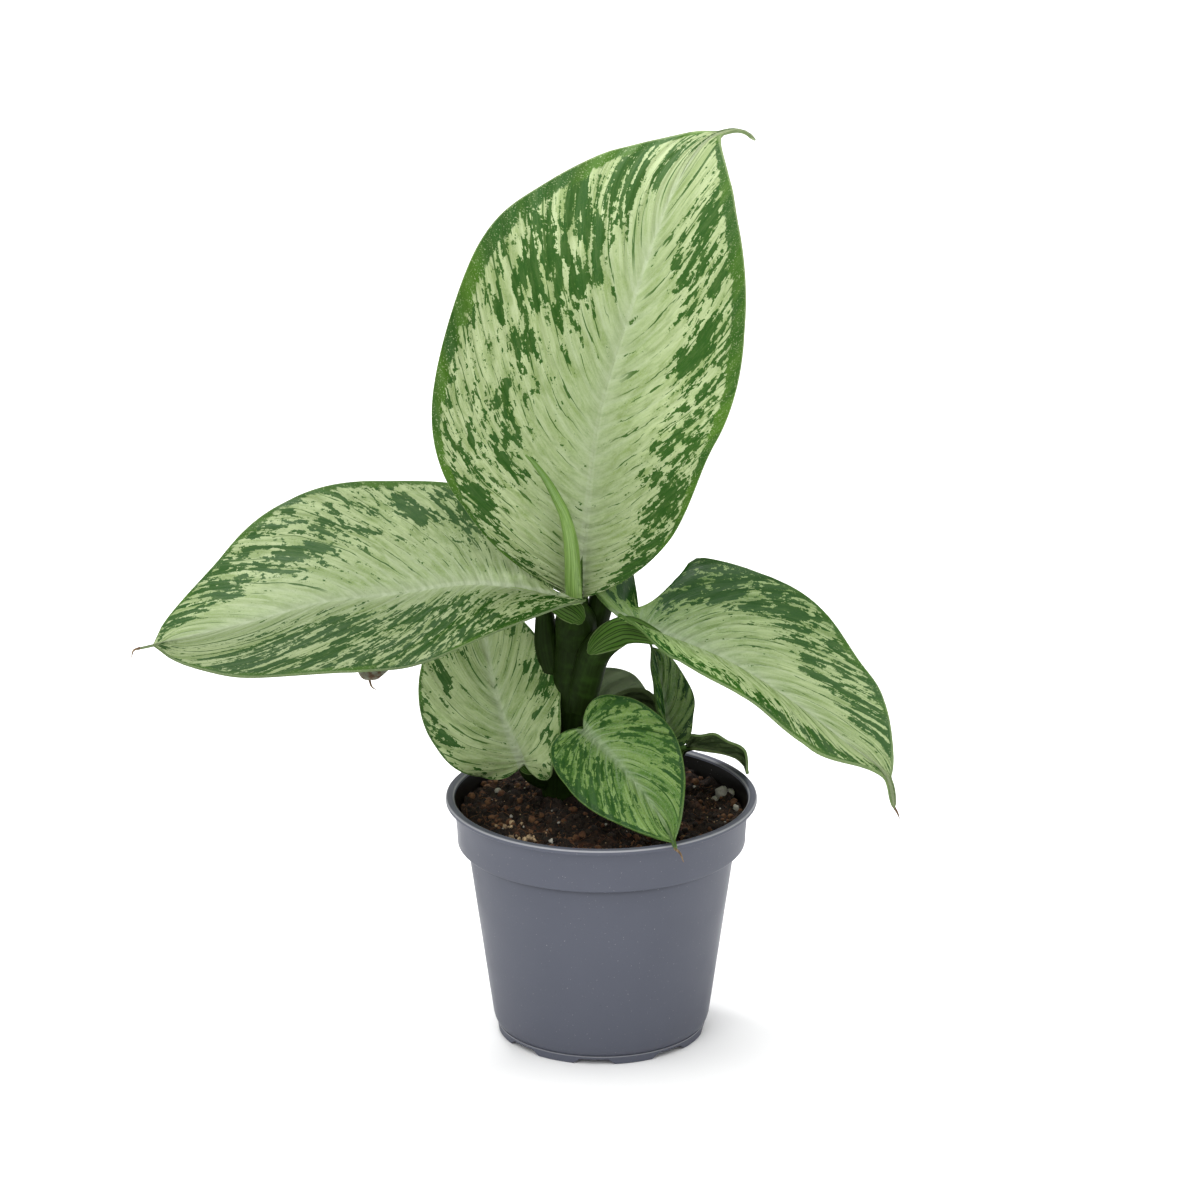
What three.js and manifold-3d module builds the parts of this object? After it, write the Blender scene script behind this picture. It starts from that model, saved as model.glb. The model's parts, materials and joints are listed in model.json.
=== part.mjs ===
// Potted dieffenbachia: a young variegated plant in a small grey nursery pot.
// Millimetres, +Z up. The front of the plant faces -Y, and +X is to the right of a viewer in front
// of it. Everything is drawn round the pot's axis, from the surface it stands on, and the whole is
// then moved so that the origin lies under the middle of the plant's bounding box.
import * as THREE from 'three';
import { mergeVertices } from 'three/addons/utils/BufferGeometryUtils.js';
import Module from 'manifold-3d';

const wasm = await Module();
wasm.setup();

// ---------------------------------------------------------------- driving dimensions
const gap = 0.3;                 // clearance between neighbouring solids
const potAxis = [16.75, 0.25];   // where the pot's axis stands

const potHeight = 48;
const rimRadius = 30;            // outer edge of the lip
const lipHeight = 1;
const collarTopRadius = 28.4;    // band below the lip
const collarFootRadius = 27.7;
const collarHeight = 9.5;        // from the lip's top to the foot of the band
const bodyTopRadius = 25.9;      // tapered wall below the band
const bodyFootRadius = 20.9;
const bodyFoot = 3;
const wall = 1;
const floorUnderside = 1.6;
const footRadius = 19.8;         // interrupted ring that the pot stands on
const footWidth = 1.4;
const footCount = 8;
const footGapWidth = 5.5;
const drainRadius = 2.4;
const drainCircle = 12;
const drainCount = 4;
const potSides = 48;

const soilLevel = 44.4;
const soilSides = 40;
const soilRings = 11;
const crumbHeight = 0.7;
const moundHeight = 1.4;         // the soil is heaped a little round the stem
const stemHoleDepth = 7;

const bladeThickness = 0.7;
// rows from base to tip, columns from midrib to margin
const largeBlade = { rows: 20, columns: [0, 0.08, 0.28, 0.52, 0.78, 1] };
const smallBlade = { rows: 13, columns: [0, 0.1, 0.4, 0.75, 1] };
const veinSlant = 0.2;           // how far a vein leaves the midrib behind its margin point
const veinBend = 1.35;
const tailHalfWidth = 0.5;
const lobeShare = 0.42;          // share of the outline that the lobes take
const tubeSides = 9;
const petioleSteps = 8;

// ---------------------------------------------------------------- the leaves
// detail: how finely the blade is divided. rib: points of the midrib from base to tip.
// face: the way the upper side looks at base, middle and tip. half: widest left and right half.
// fold: how far the two halves are raised at the midrib, in degrees, at base, middle and tip.
// curl: their further turn from midrib to margin.
// lobe: how far the halves reach behind the base. swell, taper: exponents of the outline at base
// and tip. tail: share of the length that is drip tip. keel: ridge under the midrib.
// narrow: one half stays narrow at first and then widens. dip: a hollow in one margin.
// wave: height, count and two phases of the waves in the margin.
// petiole: points and radii of the stalk, from the blade down to its clasp on the stem.
const leaves = {
  leaf_tall: {
    detail: largeBlade,
    rib: [[-4.5, 2.6, 87.1], [-2.8, 5.6, 102.5], [-0.3, 9.8, 121], [5.5, 16.3, 140], [11.8, 25.5, 156.5],
      [20, 36, 168], [30, 44.2, 167.8]],
    face: [[-0.1, -0.9, 0.3], [-0.25, -0.75, -0.25], [-0.4, -0.45, 0.85]],
    half: [36.3, 34],
    fold: [[20, 20, -1], [29, 27, 4]],
    curl: [[-4, 26, 0], [13, 22, 1]],
    lobe: [0, 0.4], swell: 1.83, taper: 1.18, tail: 0.06, keel: 1.3,
    wave: [0.4, 2.5, 0, 0.4],
    petiole: {
      points: [[-4.5, 3.2, 88.6], [-4.5, 3.4, 86], [-4.6, 4, 82], [-4.6, 4.2, 79.2]],
      radii: [1.2, 2, 2.2, 2.2],
    },
  },
  leaf_left: {
    detail: largeBlade,
    rib: [[-3.5, -2, 88.2], [-23, -2.8, 91.8], [-39.3, -5, 90.5], [-53, -8.6, 90], [-68, -12.5, 87],
      [-87.6, -15.5, 83.2]],
    face: [[0.05, 0, 0.75], [0, -0.43, 0.8], [-0.15, -0.17, 1.15]],
    half: [26.1, 26.9],
    fold: [[21, 13, 4], [2, 5, -3]],
    curl: [[-8, 4, -3], [-3, 4, -22]],
    lobe: [1, 0], swell: 0.86, taper: 0.55, tail: 0.03, keel: 1.3,
    narrow: { side: 1, from: 11, to: 25 },
    wave: [0.4, 3, 0.2, 0.7],
    petiole: {
      points: [[-10, -1.8, 88.4], [-6.5, 0.2, 85.8], [-5, 2.8, 82.5], [-4.6, 4.2, 78]],
      radii: [1.2, 2.6, 4, 4.2],
    },
  },
  leaf_right: {
    detail: largeBlade,
    rib: [[6.2, -3.4, 84], [22.3, -11, 80.2], [34.7, -18.7, 74.8], [45, -27, 69.4], [52.7, -35.3, 65.5],
      [53.3, -44.6, 62.7]],
    face: [[0.28, -0.26, 0.74], [0.51, -0.34, -0.05], [0.26, -0.56, 0.94]],
    half: [22.5, 21.9],
    fold: [[23, 24, 11], [34, 19, 6]],
    curl: [[8, -14, -2], [14, -12, -3]],
    lobe: [13, 7], swell: 1.6, taper: 1.17, tail: 0.08, keel: 1.2,
    dip: { side: 0, place: -4.5, width: 5, depth: 25 },
    wave: [0.3, 3, 0.1, 0.5],
    petiole: {
      points: [[9, -4.8, 83.2], [6, -3, 82.6], [2.5, -2, 81.2], [-1, -0.8, 77.5], [-2.8, 1, 71.5],
        [-4, 3, 65]],
      radii: [0.9, 1.9, 2.3, 2.8, 3.1, 3],
    },
  },
  leaf_low_left: {
    detail: largeBlade,
    rib: [[-15, 1.5, 53.5], [-19, 3, 63], [-21.5, 6, 72.5], [-22.5, 9.5, 82.5], [-21.5, 13, 91]],
    face: [[-0.4, -0.4, 0.2], [0, -0.92, 0.48], [0, -0.8, 0.6]],
    half: [15, 12.5],
    fold: [[12, 11, 4], [19, 12, 5]],
    curl: [[-3, -8, -6], [-15, -17, -5]],
    lobe: [3, 3.5], swell: 1.1, taper: 0.75, tail: 0.1, keel: 0.9,
    wave: [0.3, 2.5, 0.3, 0.6],
    petiole: {
      points: [[-15.6, 2.2, 56], [-14.6, 3.2, 51.8], [-12, 5.4, 48.9], [-8.6, 7.4, 47.8]],
      radii: [0.8, 1.3, 1.6, 1.8],
    },
  },
  leaf_front: {
    detail: smallBlade,
    rib: [[-3.5, -5.7, 63.6], [3, -11.7, 59.1], [9.5, -18.7, 53.2], [13, -26.2, 49.8], [14, -33, 49.4]],
    face: [[-0.35, -0.4, 0.85], [-0.3, -0.5, 0.8], [-0.35, -0.7, 0.6]],
    half: [12, 11.5],
    fold: [[7, 22, 8], [5, 17, 3]],
    curl: [[-10, -4, -4], [-15, 1, -7]],
    lobe: [4.7, 3.5], swell: 1.25, taper: 1.1, tail: 0.08, keel: 0.8,
    wave: [0.25, 3, 0, 0.5],
    petiole: {
      points: [[-2.4, -6.6, 62.8], [-3.9, -4.4, 62.4], [-5.2, -0.4, 59.4], [-6, 4, 57]],
      radii: [0.7, 1.2, 1.5, 1.7],
    },
  },
  leaf_inner_right: {
    detail: smallBlade,
    rib: [[13, 8.7, 55], [12, 9.8, 64.3], [10.5, 9.3, 72], [9, 6.5, 77.5]],
    face: [[0.55, -0.85, 0.1], [0.65, -0.75, 0.1], [0.5, -0.9, 0.05]],
    half: [5.5, 5.5],
    fold: [[34, 34, 17], [33, 29, 18]],
    curl: [[0, 0, 0], [0, 0, 0]],
    lobe: [1, 1.5], swell: 1.1, taper: 0.9, tail: 0.08, keel: 0.6,
    wave: [0.2, 2, 0, 0.5],
    petiole: {
      points: [[12.9, 9, 56.5], [12.8, 9.4, 53.4], [12.2, 10.8, 50.4], [11.6, 11.8, 48.4]],
      radii: [0.7, 1.1, 1.3, 1.4],
    },
  },
  leaf_low_right: {
    detail: smallBlade,
    rib: [[16.5, 13, 52.4], [20, 12.5, 53.4], [24.3, 12, 53], [27.3, 11, 51.2], [28.2, 9.4, 49]],
    face: [[-0.3, 0.5, 0.8], [0, 0.5, 0.85], [0.8, 0.35, 0.4]],
    half: [3.6, 3.4],
    fold: [[30, 25, 15], [30, 25, 15]],
    curl: [[0, 0, 0], [0, 0, 0]],
    lobe: [0.5, 0.5], swell: 0.8, taper: 0.7, tail: 0.1, keel: 0.4,
    wave: [0.15, 2, 0, 0.5],
    petiole: {
      points: [[17.6, 12.9, 52.9], [15.8, 13.4, 51.4], [14.4, 13.4, 49], [12.8, 12.8, 46.4]],
      radii: [0.6, 0.9, 1.1, 1.1],
    },
  },
  leaf_back: {
    detail: smallBlade,
    rib: [[-1.5, 15, 57.5], [3, 17.5, 58.5], [8.5, 20, 55], [13, 22.5, 50.5]],
    face: [[-0.2, -0.1, 1], [0.1, -0.1, 1], [0.6, 0.2, 0.8]],
    half: [9.5, 8.5],
    fold: [[40, 38, 20], [48, 46, 25]],
    curl: [[0, 0, 0], [5, 5, 0]],
    lobe: [1.5, 1.5], swell: 1, taper: 0.8, tail: 0.08, keel: 0.6,
    wave: [0.25, 2, 0, 0.5],
    petiole: {
      points: [[0.2, 16, 58.2], [0.6, 15.6, 55.4], [4.6, 14.8, 50.6], [9.8, 13, 46.6]],
      radii: [0.7, 1.1, 1.3, 1.4],
    },
  },
  leaf_back_left: {
    detail: smallBlade,
    rib: [[-15, 17, 70], [-24, 19.5, 76.5], [-34.5, 17, 79], [-42.5, 12, 75.5], [-45, 9.5, 68]],
    face: [[-0.4, -0.1, 0.9], [-0.1, 0.2, 1], [-0.6, 0.75, 0.2]],
    half: [8, 8],
    fold: [[20, 14, 5], [20, 14, 5]],
    curl: [[-20, -30, -20], [-20, -30, -20]],
    lobe: [1.5, 1.5], swell: 1, taper: 0.5, tail: 0.05, keel: 0.8,
    wave: [0.3, 2, 0, 0.5],
    petiole: {
      points: [[-17, 18, 71.6], [-13.6, 16, 69], [-10.4, 12, 65], [-7, 7.4, 61]],
      radii: [0.8, 1.4, 1.7, 1.9],
    },
  },
};

// ---------------------------------------------------------------- the stems
const stems = {
  stem_main: {
    points: [[-8, 8, soilLevel - stemHoleDepth], [-7.4, 7.4, 52], [-6, 6, 62], [-5, 4.8, 70],
      [-4.6, 4.2, 77.6]],
    radii: [3.7, 4.1, 4.4, 4.4, 4.1],
    steps: 20,
    scars: [51, 58, 65, 72],     // heights of the leaf scars, thin raised rings
  },
  stem_side: {
    points: [[11, 12.6, soilLevel - stemHoleDepth], [11.4, 12.4, 44], [11.6, 12.3, 47.6]],
    radii: [1.8, 1.9, 1.8],
    steps: 4,
    scars: [],
  },
};
const scarHeight = 0.25;
const scarSpread = 0.9;

// The youngest leaf is still rolled into a spear.
const spear = {
  points: [[-5.4, -0.4, 89.8], [-5.7, -0.1, 98], [-6.8, 0, 104], [-8.4, -0.4, 108],
    [-10.4, -1, 112], [-12.6, -2, 115.5], [-14.3, -3, 117.6]],
  radii: [1.5, 1.6, 1.25, 1.1, 0.8, 0.6, 0.35],
  steps: 12,
};

const perlite = [[23.4, 8.6, 1.9], [26, 2, 1], [-17, -11, 1.6], [-9.5, -17.5, 1], [2.6, -25.4, 0.9],
  [15, 16, 1.2], [-12, 19, 1.3], [-20, 9, 1]];

// ---------------------------------------------------------------- materials
const material = (color, roughness) => new THREE.MeshStandardMaterial({ color, roughness, metalness: 0 });
const palette = {
  pot: material(0x6d7078, 0.45),
  soil: material(0x3a2a20, 0.95),
  stem: material(0x3f6b32, 0.5),
  spear: material(0x9cc15c, 0.45),
  leaf: material(0x8fb56a, 0.45),
  youngLeaf: material(0x6ea348, 0.45),
  underside: material(0x7a8c6c, 0.55),
};
const leafMaterial = {
  leaf_front: palette.youngLeaf,
  leaf_inner_right: palette.youngLeaf,
  leaf_low_right: palette.underside,
  leaf_back: palette.underside,
  leaf_back_left: palette.underside,
};

// ---------------------------------------------------------------- solids
function solidOf(geometry) {
  geometry.deleteAttribute('normal');
  geometry.deleteAttribute('uv');
  const merged = mergeVertices(geometry, 1e-4);
  const position = merged.attributes.position;
  const index = merged.index.array;
  const faces = [];
  for (let i = 0; i < index.length; i += 3) {
    const [a, b, c] = [index[i], index[i + 1], index[i + 2]];
    if (a !== b && b !== c && c !== a) faces.push([a, b, c]);
  }
  const corner = (k) => new THREE.Vector3().fromBufferAttribute(position, k);
  let volume = 0;
  for (const [a, b, c] of faces) volume += corner(a).dot(corner(b).cross(corner(c)));
  const outward = volume > 0 ? faces : faces.map(([a, b, c]) => [a, c, b]);
  return new wasm.Manifold(new wasm.Mesh({
    numProp: 3,
    vertProperties: new Float32Array(position.array),
    triVerts: new Uint32Array(outward.flat()),
  }));
}

function geometryOf(solid) {
  const mesh = solid.getMesh();
  const geometry = new THREE.BufferGeometry();
  geometry.setAttribute('position', new THREE.BufferAttribute(mesh.vertProperties, 3));
  geometry.setIndex(new THREE.BufferAttribute(mesh.triVerts, 1));
  geometry.computeVertexNormals();
  return geometry;
}

function solidFromTriangles(corners) {
  const geometry = new THREE.BufferGeometry();
  const values = corners.flatMap((v) => [v.x, v.y, v.z]);
  geometry.setAttribute('position', new THREE.BufferAttribute(new Float32Array(values), 3));
  return solidOf(geometry);
}

const vector = (p) => new THREE.Vector3(...p);
const curveThrough = (points) => new THREE.CatmullRomCurve3(points.map(vector), false, 'catmullrom', 0.5);

// A quadratic through the values at base, middle and tip.
function threeWay([base, middle, tip], x) {
  return base * (1 - x) * (1 - 2 * x) + middle * 4 * x * (1 - x) + tip * x * (2 * x - 1);
}

// A closed round rod of changing radius along a curve, its ends flat. Where grow is given, the
// rod is that much thicker and longer, as the clearance that a neighbour leaves round it.
function taperedRod(points, radii, steps, { grow = 0, ripple = () => 0 } = {}) {
  const ends = points.map(vector);
  const lengthen = (end, inner) => end.add(end.clone().sub(inner).setLength(grow));
  if (grow > 0) {
    lengthen(ends[0], ends[1]);
    lengthen(ends.at(-1), ends.at(-2));
  }
  const curve = new THREE.CatmullRomCurve3(ends, false, 'catmullrom', 0.5);
  const frames = curve.computeFrenetFrames(steps, false);
  const ring = (i) => {
    const t = i / steps;
    const centre = curve.getPoint(t);
    const place = t * (radii.length - 1);
    const low = Math.min(Math.floor(place), radii.length - 2);
    const plain = THREE.MathUtils.lerp(radii[low], radii[low + 1], place - low);
    const radius = plain + ripple(centre.z) + grow;
    return Array.from({ length: tubeSides }, (_, k) => {
      const angle = (2 * Math.PI * k) / tubeSides;
      return centre.clone()
        .addScaledVector(frames.normals[i], radius * Math.cos(angle))
        .addScaledVector(frames.binormals[i], radius * Math.sin(angle));
    });
  };
  const rings = Array.from({ length: steps + 1 }, (_, i) => ring(i));
  const triangles = [];
  for (let i = 0; i < steps; i += 1) {
    for (let k = 0; k < tubeSides; k += 1) {
      const next = (k + 1) % tubeSides;
      triangles.push(rings[i][k], rings[i][next], rings[i + 1][next]);
      triangles.push(rings[i][k], rings[i + 1][next], rings[i + 1][k]);
    }
  }
  for (let k = 1; k < tubeSides - 1; k += 1) {
    triangles.push(rings[0][0], rings[0][k + 1], rings[0][k]);
    triangles.push(rings[steps][0], rings[steps][k], rings[steps][k + 1]);
  }
  return solidFromTriangles(triangles);
}

// ---------------------------------------------------------------- leaf
// A point of the flat blade is p along the midrib and q across it, left of it below zero.
// bladePoint folds, curls and waves the blade and lays it on the midrib's curve.
function bladeSurface(leaf) {
  const rib = curveThrough(leaf.rib);
  const length = rib.getLength();
  const faces = [0, 1, 2].map((axis) => leaf.face.map((direction) => direction[axis]));

  const frameAt = (p) => {
    const x = THREE.MathUtils.clamp(p / length, 0, 1);
    const along = rib.getTangentAt(x);
    const centre = rib.getPointAt(x).addScaledVector(along, p - x * length);
    const up = vector(faces.map((values) => threeWay(values, x)));
    up.addScaledVector(along, -up.dot(along)).normalize();
    return { x, along, centre, up, across: along.clone().cross(up) };
  };

  const point = (p, q) => {
    const { x, centre, up, across } = frameAt(p);
    const side = q > 0 ? 1 : 0;
    const half = leaf.half[side];
    const reach = Math.abs(q);
    const fold = THREE.MathUtils.degToRad(threeWay(leaf.fold[side], x));
    const curl = THREE.MathUtils.degToRad(threeWay(leaf.curl[side], x)) / half || 1e-5;
    const lateral = (Math.sin(fold + curl * reach) - Math.sin(fold)) / curl;
    const [waveHeight, waveCount, ...phases] = leaf.wave;
    const wave = waveHeight * (reach / half) ** 2 * Math.sin(2 * Math.PI * (waveCount * x + phases[side]));
    const hollow = leaf.dip?.side === side
      ? leaf.dip.depth * (reach / half) ** 2 * Math.exp(-(((p - leaf.dip.place) / leaf.dip.width) ** 2))
      : 0;
    const raised = (Math.cos(fold) - Math.cos(fold + curl * reach)) / curl + wave - hollow;
    return centre.addScaledVector(across, Math.sign(q) * lateral).addScaledVector(up, raised);
  };

  // The outline at t, from base to tip: along, across, and where the vein left the midrib.
  const outline = (t, side) => {
    const along = 1.5 * t ** 2 - 0.5 * t ** 3;
    const body = Math.min(t / (1 - leaf.tail), 1);
    const widest = leaf.swell / (leaf.swell + leaf.taper);
    const bulge = (body / widest) ** leaf.swell * ((1 - body) / (1 - widest)) ** leaf.taper;
    const lobe = leaf.lobe[side] * Math.sin(Math.PI * Math.min(t / lobeShare, 1));
    const widening = leaf.narrow?.side === side
      ? 0.1 + 0.9 * THREE.MathUtils.smoothstep(length * along, leaf.narrow.from, leaf.narrow.to)
      : 1;
    const slant = leaf.narrow ? veinSlant * THREE.MathUtils.smoothstep(along, 0, 0.7) : veinSlant;
    return {
      p: length * along - lobe,
      q: (leaf.half[side] * bulge + tailHalfWidth * Math.sqrt(1 - t) * t ** 3) * widening,
      vein: length * (along - slant * 4 * along * (1 - along)),
    };
  };
  return { point, outline, frameAt };
}

function bladeSolid(leaf) {
  const { point, outline, frameAt } = bladeSurface(leaf);
  const { rows: lastRow, columns: halfColumns } = leaf.detail;
  const columns = [...halfColumns.slice(1).reverse().map((u) => -u), ...halfColumns];
  const middle = halfColumns.length - 1;

  const places = Array.from({ length: lastRow + 1 }, (_, i) => columns.map((u) => {
    const { p, q, vein } = outline(i / lastRow, u > 0 ? 1 : 0);
    return [vein + (p - vein) * Math.abs(u) ** veinBend, q * u];
  }));
  const rows = places.map((row) => row.map(([p, q]) => point(p, q)));

  // Both faces are moved along the leaf's own upward direction, so that a folded blade never
  // crosses itself, and further where the blade is steep, so that it is as thick there.
  const steepness = (i, j, up) => {
    if (i === 0 || i === lastRow) return 1;
    const across = rows[i][Math.min(j + 1, columns.length - 1)].clone().sub(rows[i][Math.max(j - 1, 0)]);
    const along = rows[i + 1][j].clone().sub(rows[i - 1][j]);
    return Math.max(Math.abs(across.cross(along).normalize().dot(up)), 0.5);
  };
  const upper = [];
  const lower = [];
  rows.forEach((row, i) => {
    const ups = places[i].map(([p]) => frameAt(p).up);
    const depths = row.map((_, j) => bladeThickness / 2 / steepness(i, j, ups[j]));
    const keel = leaf.keel * (1 - i / lastRow) ** 0.8;
    upper.push(row.map((v, j) => v.clone().addScaledVector(ups[j], depths[j])));
    lower.push(row.map((v, j) => {
      return v.clone().addScaledVector(ups[j], -depths[j] - (j === middle ? keel : 0));
    }));
  });

  const triangles = [];
  const last = columns.length - 1;
  for (let i = 0; i < lastRow; i += 1) {
    for (let j = 0; j < last; j += 1) {
      triangles.push(upper[i][j], upper[i][j + 1], upper[i + 1][j + 1]);
      triangles.push(upper[i][j], upper[i + 1][j + 1], upper[i + 1][j]);
      triangles.push(lower[i][j], lower[i + 1][j + 1], lower[i][j + 1]);
      triangles.push(lower[i][j], lower[i + 1][j], lower[i + 1][j + 1]);
    }
    triangles.push(upper[i][0], upper[i + 1][0], lower[i + 1][0]);
    triangles.push(upper[i][0], lower[i + 1][0], lower[i][0]);
    triangles.push(upper[i][last], lower[i + 1][last], upper[i + 1][last]);
    triangles.push(upper[i][last], lower[i][last], lower[i + 1][last]);
  }
  return solidFromTriangles(triangles);
}

function petioleSolid({ petiole }, grow = 0) {
  return taperedRod(petiole.points, petiole.radii, petioleSteps, { grow });
}

const leafSolid = (leaf) => bladeSolid(leaf).add(petioleSolid(leaf));

// ---------------------------------------------------------------- stem, pot and soil
function stemSolid({ points, radii, steps, scars }, grow = 0) {
  const ripple = (z) => scars.reduce((sum, height) => {
    return sum + scarHeight * Math.exp(-(((z - height) / scarSpread) ** 2));
  }, 0);
  return taperedRod(points, radii, steps, { grow, ripple });
}

function turned(profile, sides) {
  const points = profile.map(([radius, height]) => new THREE.Vector2(radius, height));
  return solidOf(new THREE.LatheGeometry(points, sides).rotateX(Math.PI / 2));
}

function upright(radius, low, high, x = 0, y = 0, sides = 16) {
  const cylinder = new THREE.CylinderGeometry(radius, radius, high - low, sides).rotateX(Math.PI / 2);
  return solidOf(cylinder.translate(x, y, (low + high) / 2));
}

function potSolid() {
  const lipFoot = potHeight - lipHeight;
  const collarFoot = potHeight - collarHeight;
  const floorTop = floorUnderside + wall;
  const profile = [
    [0, floorUnderside],
    [footRadius - footWidth, floorUnderside],
    [footRadius - footWidth, 0],
    [footRadius, 0],
    [footRadius + 0.3, floorUnderside],
    [bodyFootRadius - 0.3, bodyFoot - 0.8],
    [bodyFootRadius, bodyFoot],
    [bodyTopRadius, collarFoot - 0.4],
    [collarFootRadius - 0.8, collarFoot + 0.2],
    [collarFootRadius, collarFoot + 1.4],
    [collarTopRadius, lipFoot],
    [rimRadius, lipFoot],
    [rimRadius, potHeight - 0.25],
    [rimRadius - 0.4, potHeight],
    [collarTopRadius - 0.1, potHeight],
    [collarTopRadius - wall, lipFoot - 0.4],
    [collarFootRadius - wall, collarFoot + 1.2],
    [bodyTopRadius - wall, collarFoot - 1],
    [bodyFootRadius - wall, bodyFoot + 1],
    [bodyFootRadius - 2 * wall, floorTop],
    [0, floorTop],
  ];
  let pot = turned(profile, potSides);
  for (let k = 0; k < footCount; k += 1) {
    const box = new THREE.BoxGeometry(2 * footWidth + 2, footGapWidth, 2 * floorUnderside - 0.02);
    box.translate(footRadius - footWidth / 2, 0, 0).rotateZ((2 * Math.PI * k) / footCount);
    pot = pot.subtract(solidOf(box));
  }
  for (let k = 0; k < drainCount; k += 1) {
    const angle = (2 * Math.PI * (k + 0.5)) / drainCount;
    const [x, y] = [drainCircle * Math.cos(angle), drainCircle * Math.sin(angle)];
    pot = pot.subtract(upright(drainRadius, floorUnderside - 1, floorTop + 1, x, y));
  }
  return pot;
}

// A repeatable scatter between -1 and 1 for a place on the soil.
function scatter(i, j) {
  const value = Math.sin(i * 127.1 + j * 311.7) * 43758.5453;
  return 2 * (value - Math.floor(value)) - 1;
}

function soilHeight(x, y, ring, spoke) {
  const main = stems.stem_main.points[0];
  const mound = moundHeight * Math.exp(-((x - main[0]) ** 2 + (y - main[1]) ** 2) / 120);
  const lumps = perlite.reduce((top, [px, py, size]) => {
    const distance = Math.hypot(x - px, y - py) / (size * 1.4);
    return Math.max(top, size * 0.8 * Math.sqrt(Math.max(1 - distance ** 2, 0)));
  }, 0);
  const roll = 0.5 * Math.sin(x / 5 + 1) * Math.cos(y / 6);
  return soilLevel + mound + roll + crumbHeight * scatter(ring, spoke) + lumps;
}

function soilSolid() {
  const collarFoot = potHeight - collarHeight;
  const floorTop = floorUnderside + wall;
  const topRadius = collarTopRadius - wall - gap - 0.2;
  const side = [
    [collarFootRadius - wall - gap, collarFoot + 1.4],
    [bodyTopRadius - wall - gap, collarFoot - 0.8],
    [bodyFootRadius - wall - gap, bodyFoot + 1.3],
    [bodyFootRadius - 2 * wall - gap, floorTop + gap],
  ];
  const angleOf = (k) => (2 * Math.PI * k) / soilSides;
  const place = (radius, k, z) => {
    const [x, y] = [radius * Math.cos(angleOf(k)), radius * Math.sin(angleOf(k))];
    return new THREE.Vector3(x, y, z ?? soilHeight(x, y, radius, k));
  };
  const rings = [];
  for (let r = 1; r <= soilRings; r += 1) {
    const radius = topRadius * (r / soilRings);
    rings.push(Array.from({ length: soilSides }, (_, k) => place(radius, k)));
  }
  for (const [radius, z] of side) {
    rings.push(Array.from({ length: soilSides }, (_, k) => place(radius, k, z)));
  }
  const top = new THREE.Vector3(0, 0, soilHeight(0, 0, 0, 0));
  const bottom = new THREE.Vector3(0, 0, floorTop + gap);
  const triangles = [];
  for (let k = 0; k < soilSides; k += 1) {
    const next = (k + 1) % soilSides;
    triangles.push(top, rings[0][k], rings[0][next]);
    for (let r = 0; r < rings.length - 1; r += 1) {
      triangles.push(rings[r][k], rings[r + 1][k], rings[r + 1][next]);
      triangles.push(rings[r][k], rings[r + 1][next], rings[r][next]);
    }
    triangles.push(bottom, rings.at(-1)[next], rings.at(-1)[k]);
  }
  let soil = solidFromTriangles(triangles);
  for (const stem of Object.values(stems)) soil = soil.subtract(stemSolid(stem, gap));
  return soil;
}

// ---------------------------------------------------------------- assembly
const plant = new THREE.Group();
const pot = new THREE.Group();
const root = new THREE.Group();
root.add(pot, plant);
root.position.set(...potAxis, 0);

function addPiece(group, name, solid, look) {
  const mesh = new THREE.Mesh(geometryOf(solid), look);
  mesh.name = name;
  group.add(mesh);
}

addPiece(pot, 'pot', potSolid(), palette.pot);
addPiece(pot, 'soil', soilSolid(), palette.soil);

for (const [name, stem] of Object.entries(stems)) addPiece(plant, name, stemSolid(stem), palette.stem);
addPiece(plant, 'leaf_spear', taperedRod(spear.points, spear.radii, spear.steps), palette.spear);

const solids = Object.fromEntries(Object.entries(leaves).map(([name, leaf]) => [name, leafSolid(leaf)]));
for (const stem of Object.values(stems)) {
  const clearance = stemSolid(stem, gap);
  for (const name of Object.keys(solids)) solids[name] = solids[name].subtract(clearance);
}
solids.leaf_left = solids.leaf_left.subtract(petioleSolid(leaves.leaf_tall, gap));
solids.leaf_right = solids.leaf_right.subtract(petioleSolid(leaves.leaf_left, gap));
solids.leaf_front = solids.leaf_front.subtract(petioleSolid(leaves.leaf_right, gap));
solids.leaf_low_right = solids.leaf_low_right.subtract(petioleSolid(leaves.leaf_inner_right, gap));
solids.leaf_back = solids.leaf_back.subtract(petioleSolid(leaves.leaf_inner_right, gap));
for (const [name, solid] of Object.entries(solids)) {
  addPiece(plant, name, solid, leafMaterial[name] ?? palette.leaf);
}

export default root;
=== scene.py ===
"""A young potted dieffenbachia: a small grey nursery pot, peat soil, stems and variegated leaves.

Everything is drawn in millimetres round the pot's axis, and placed in metres in the frame.
"""

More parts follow.
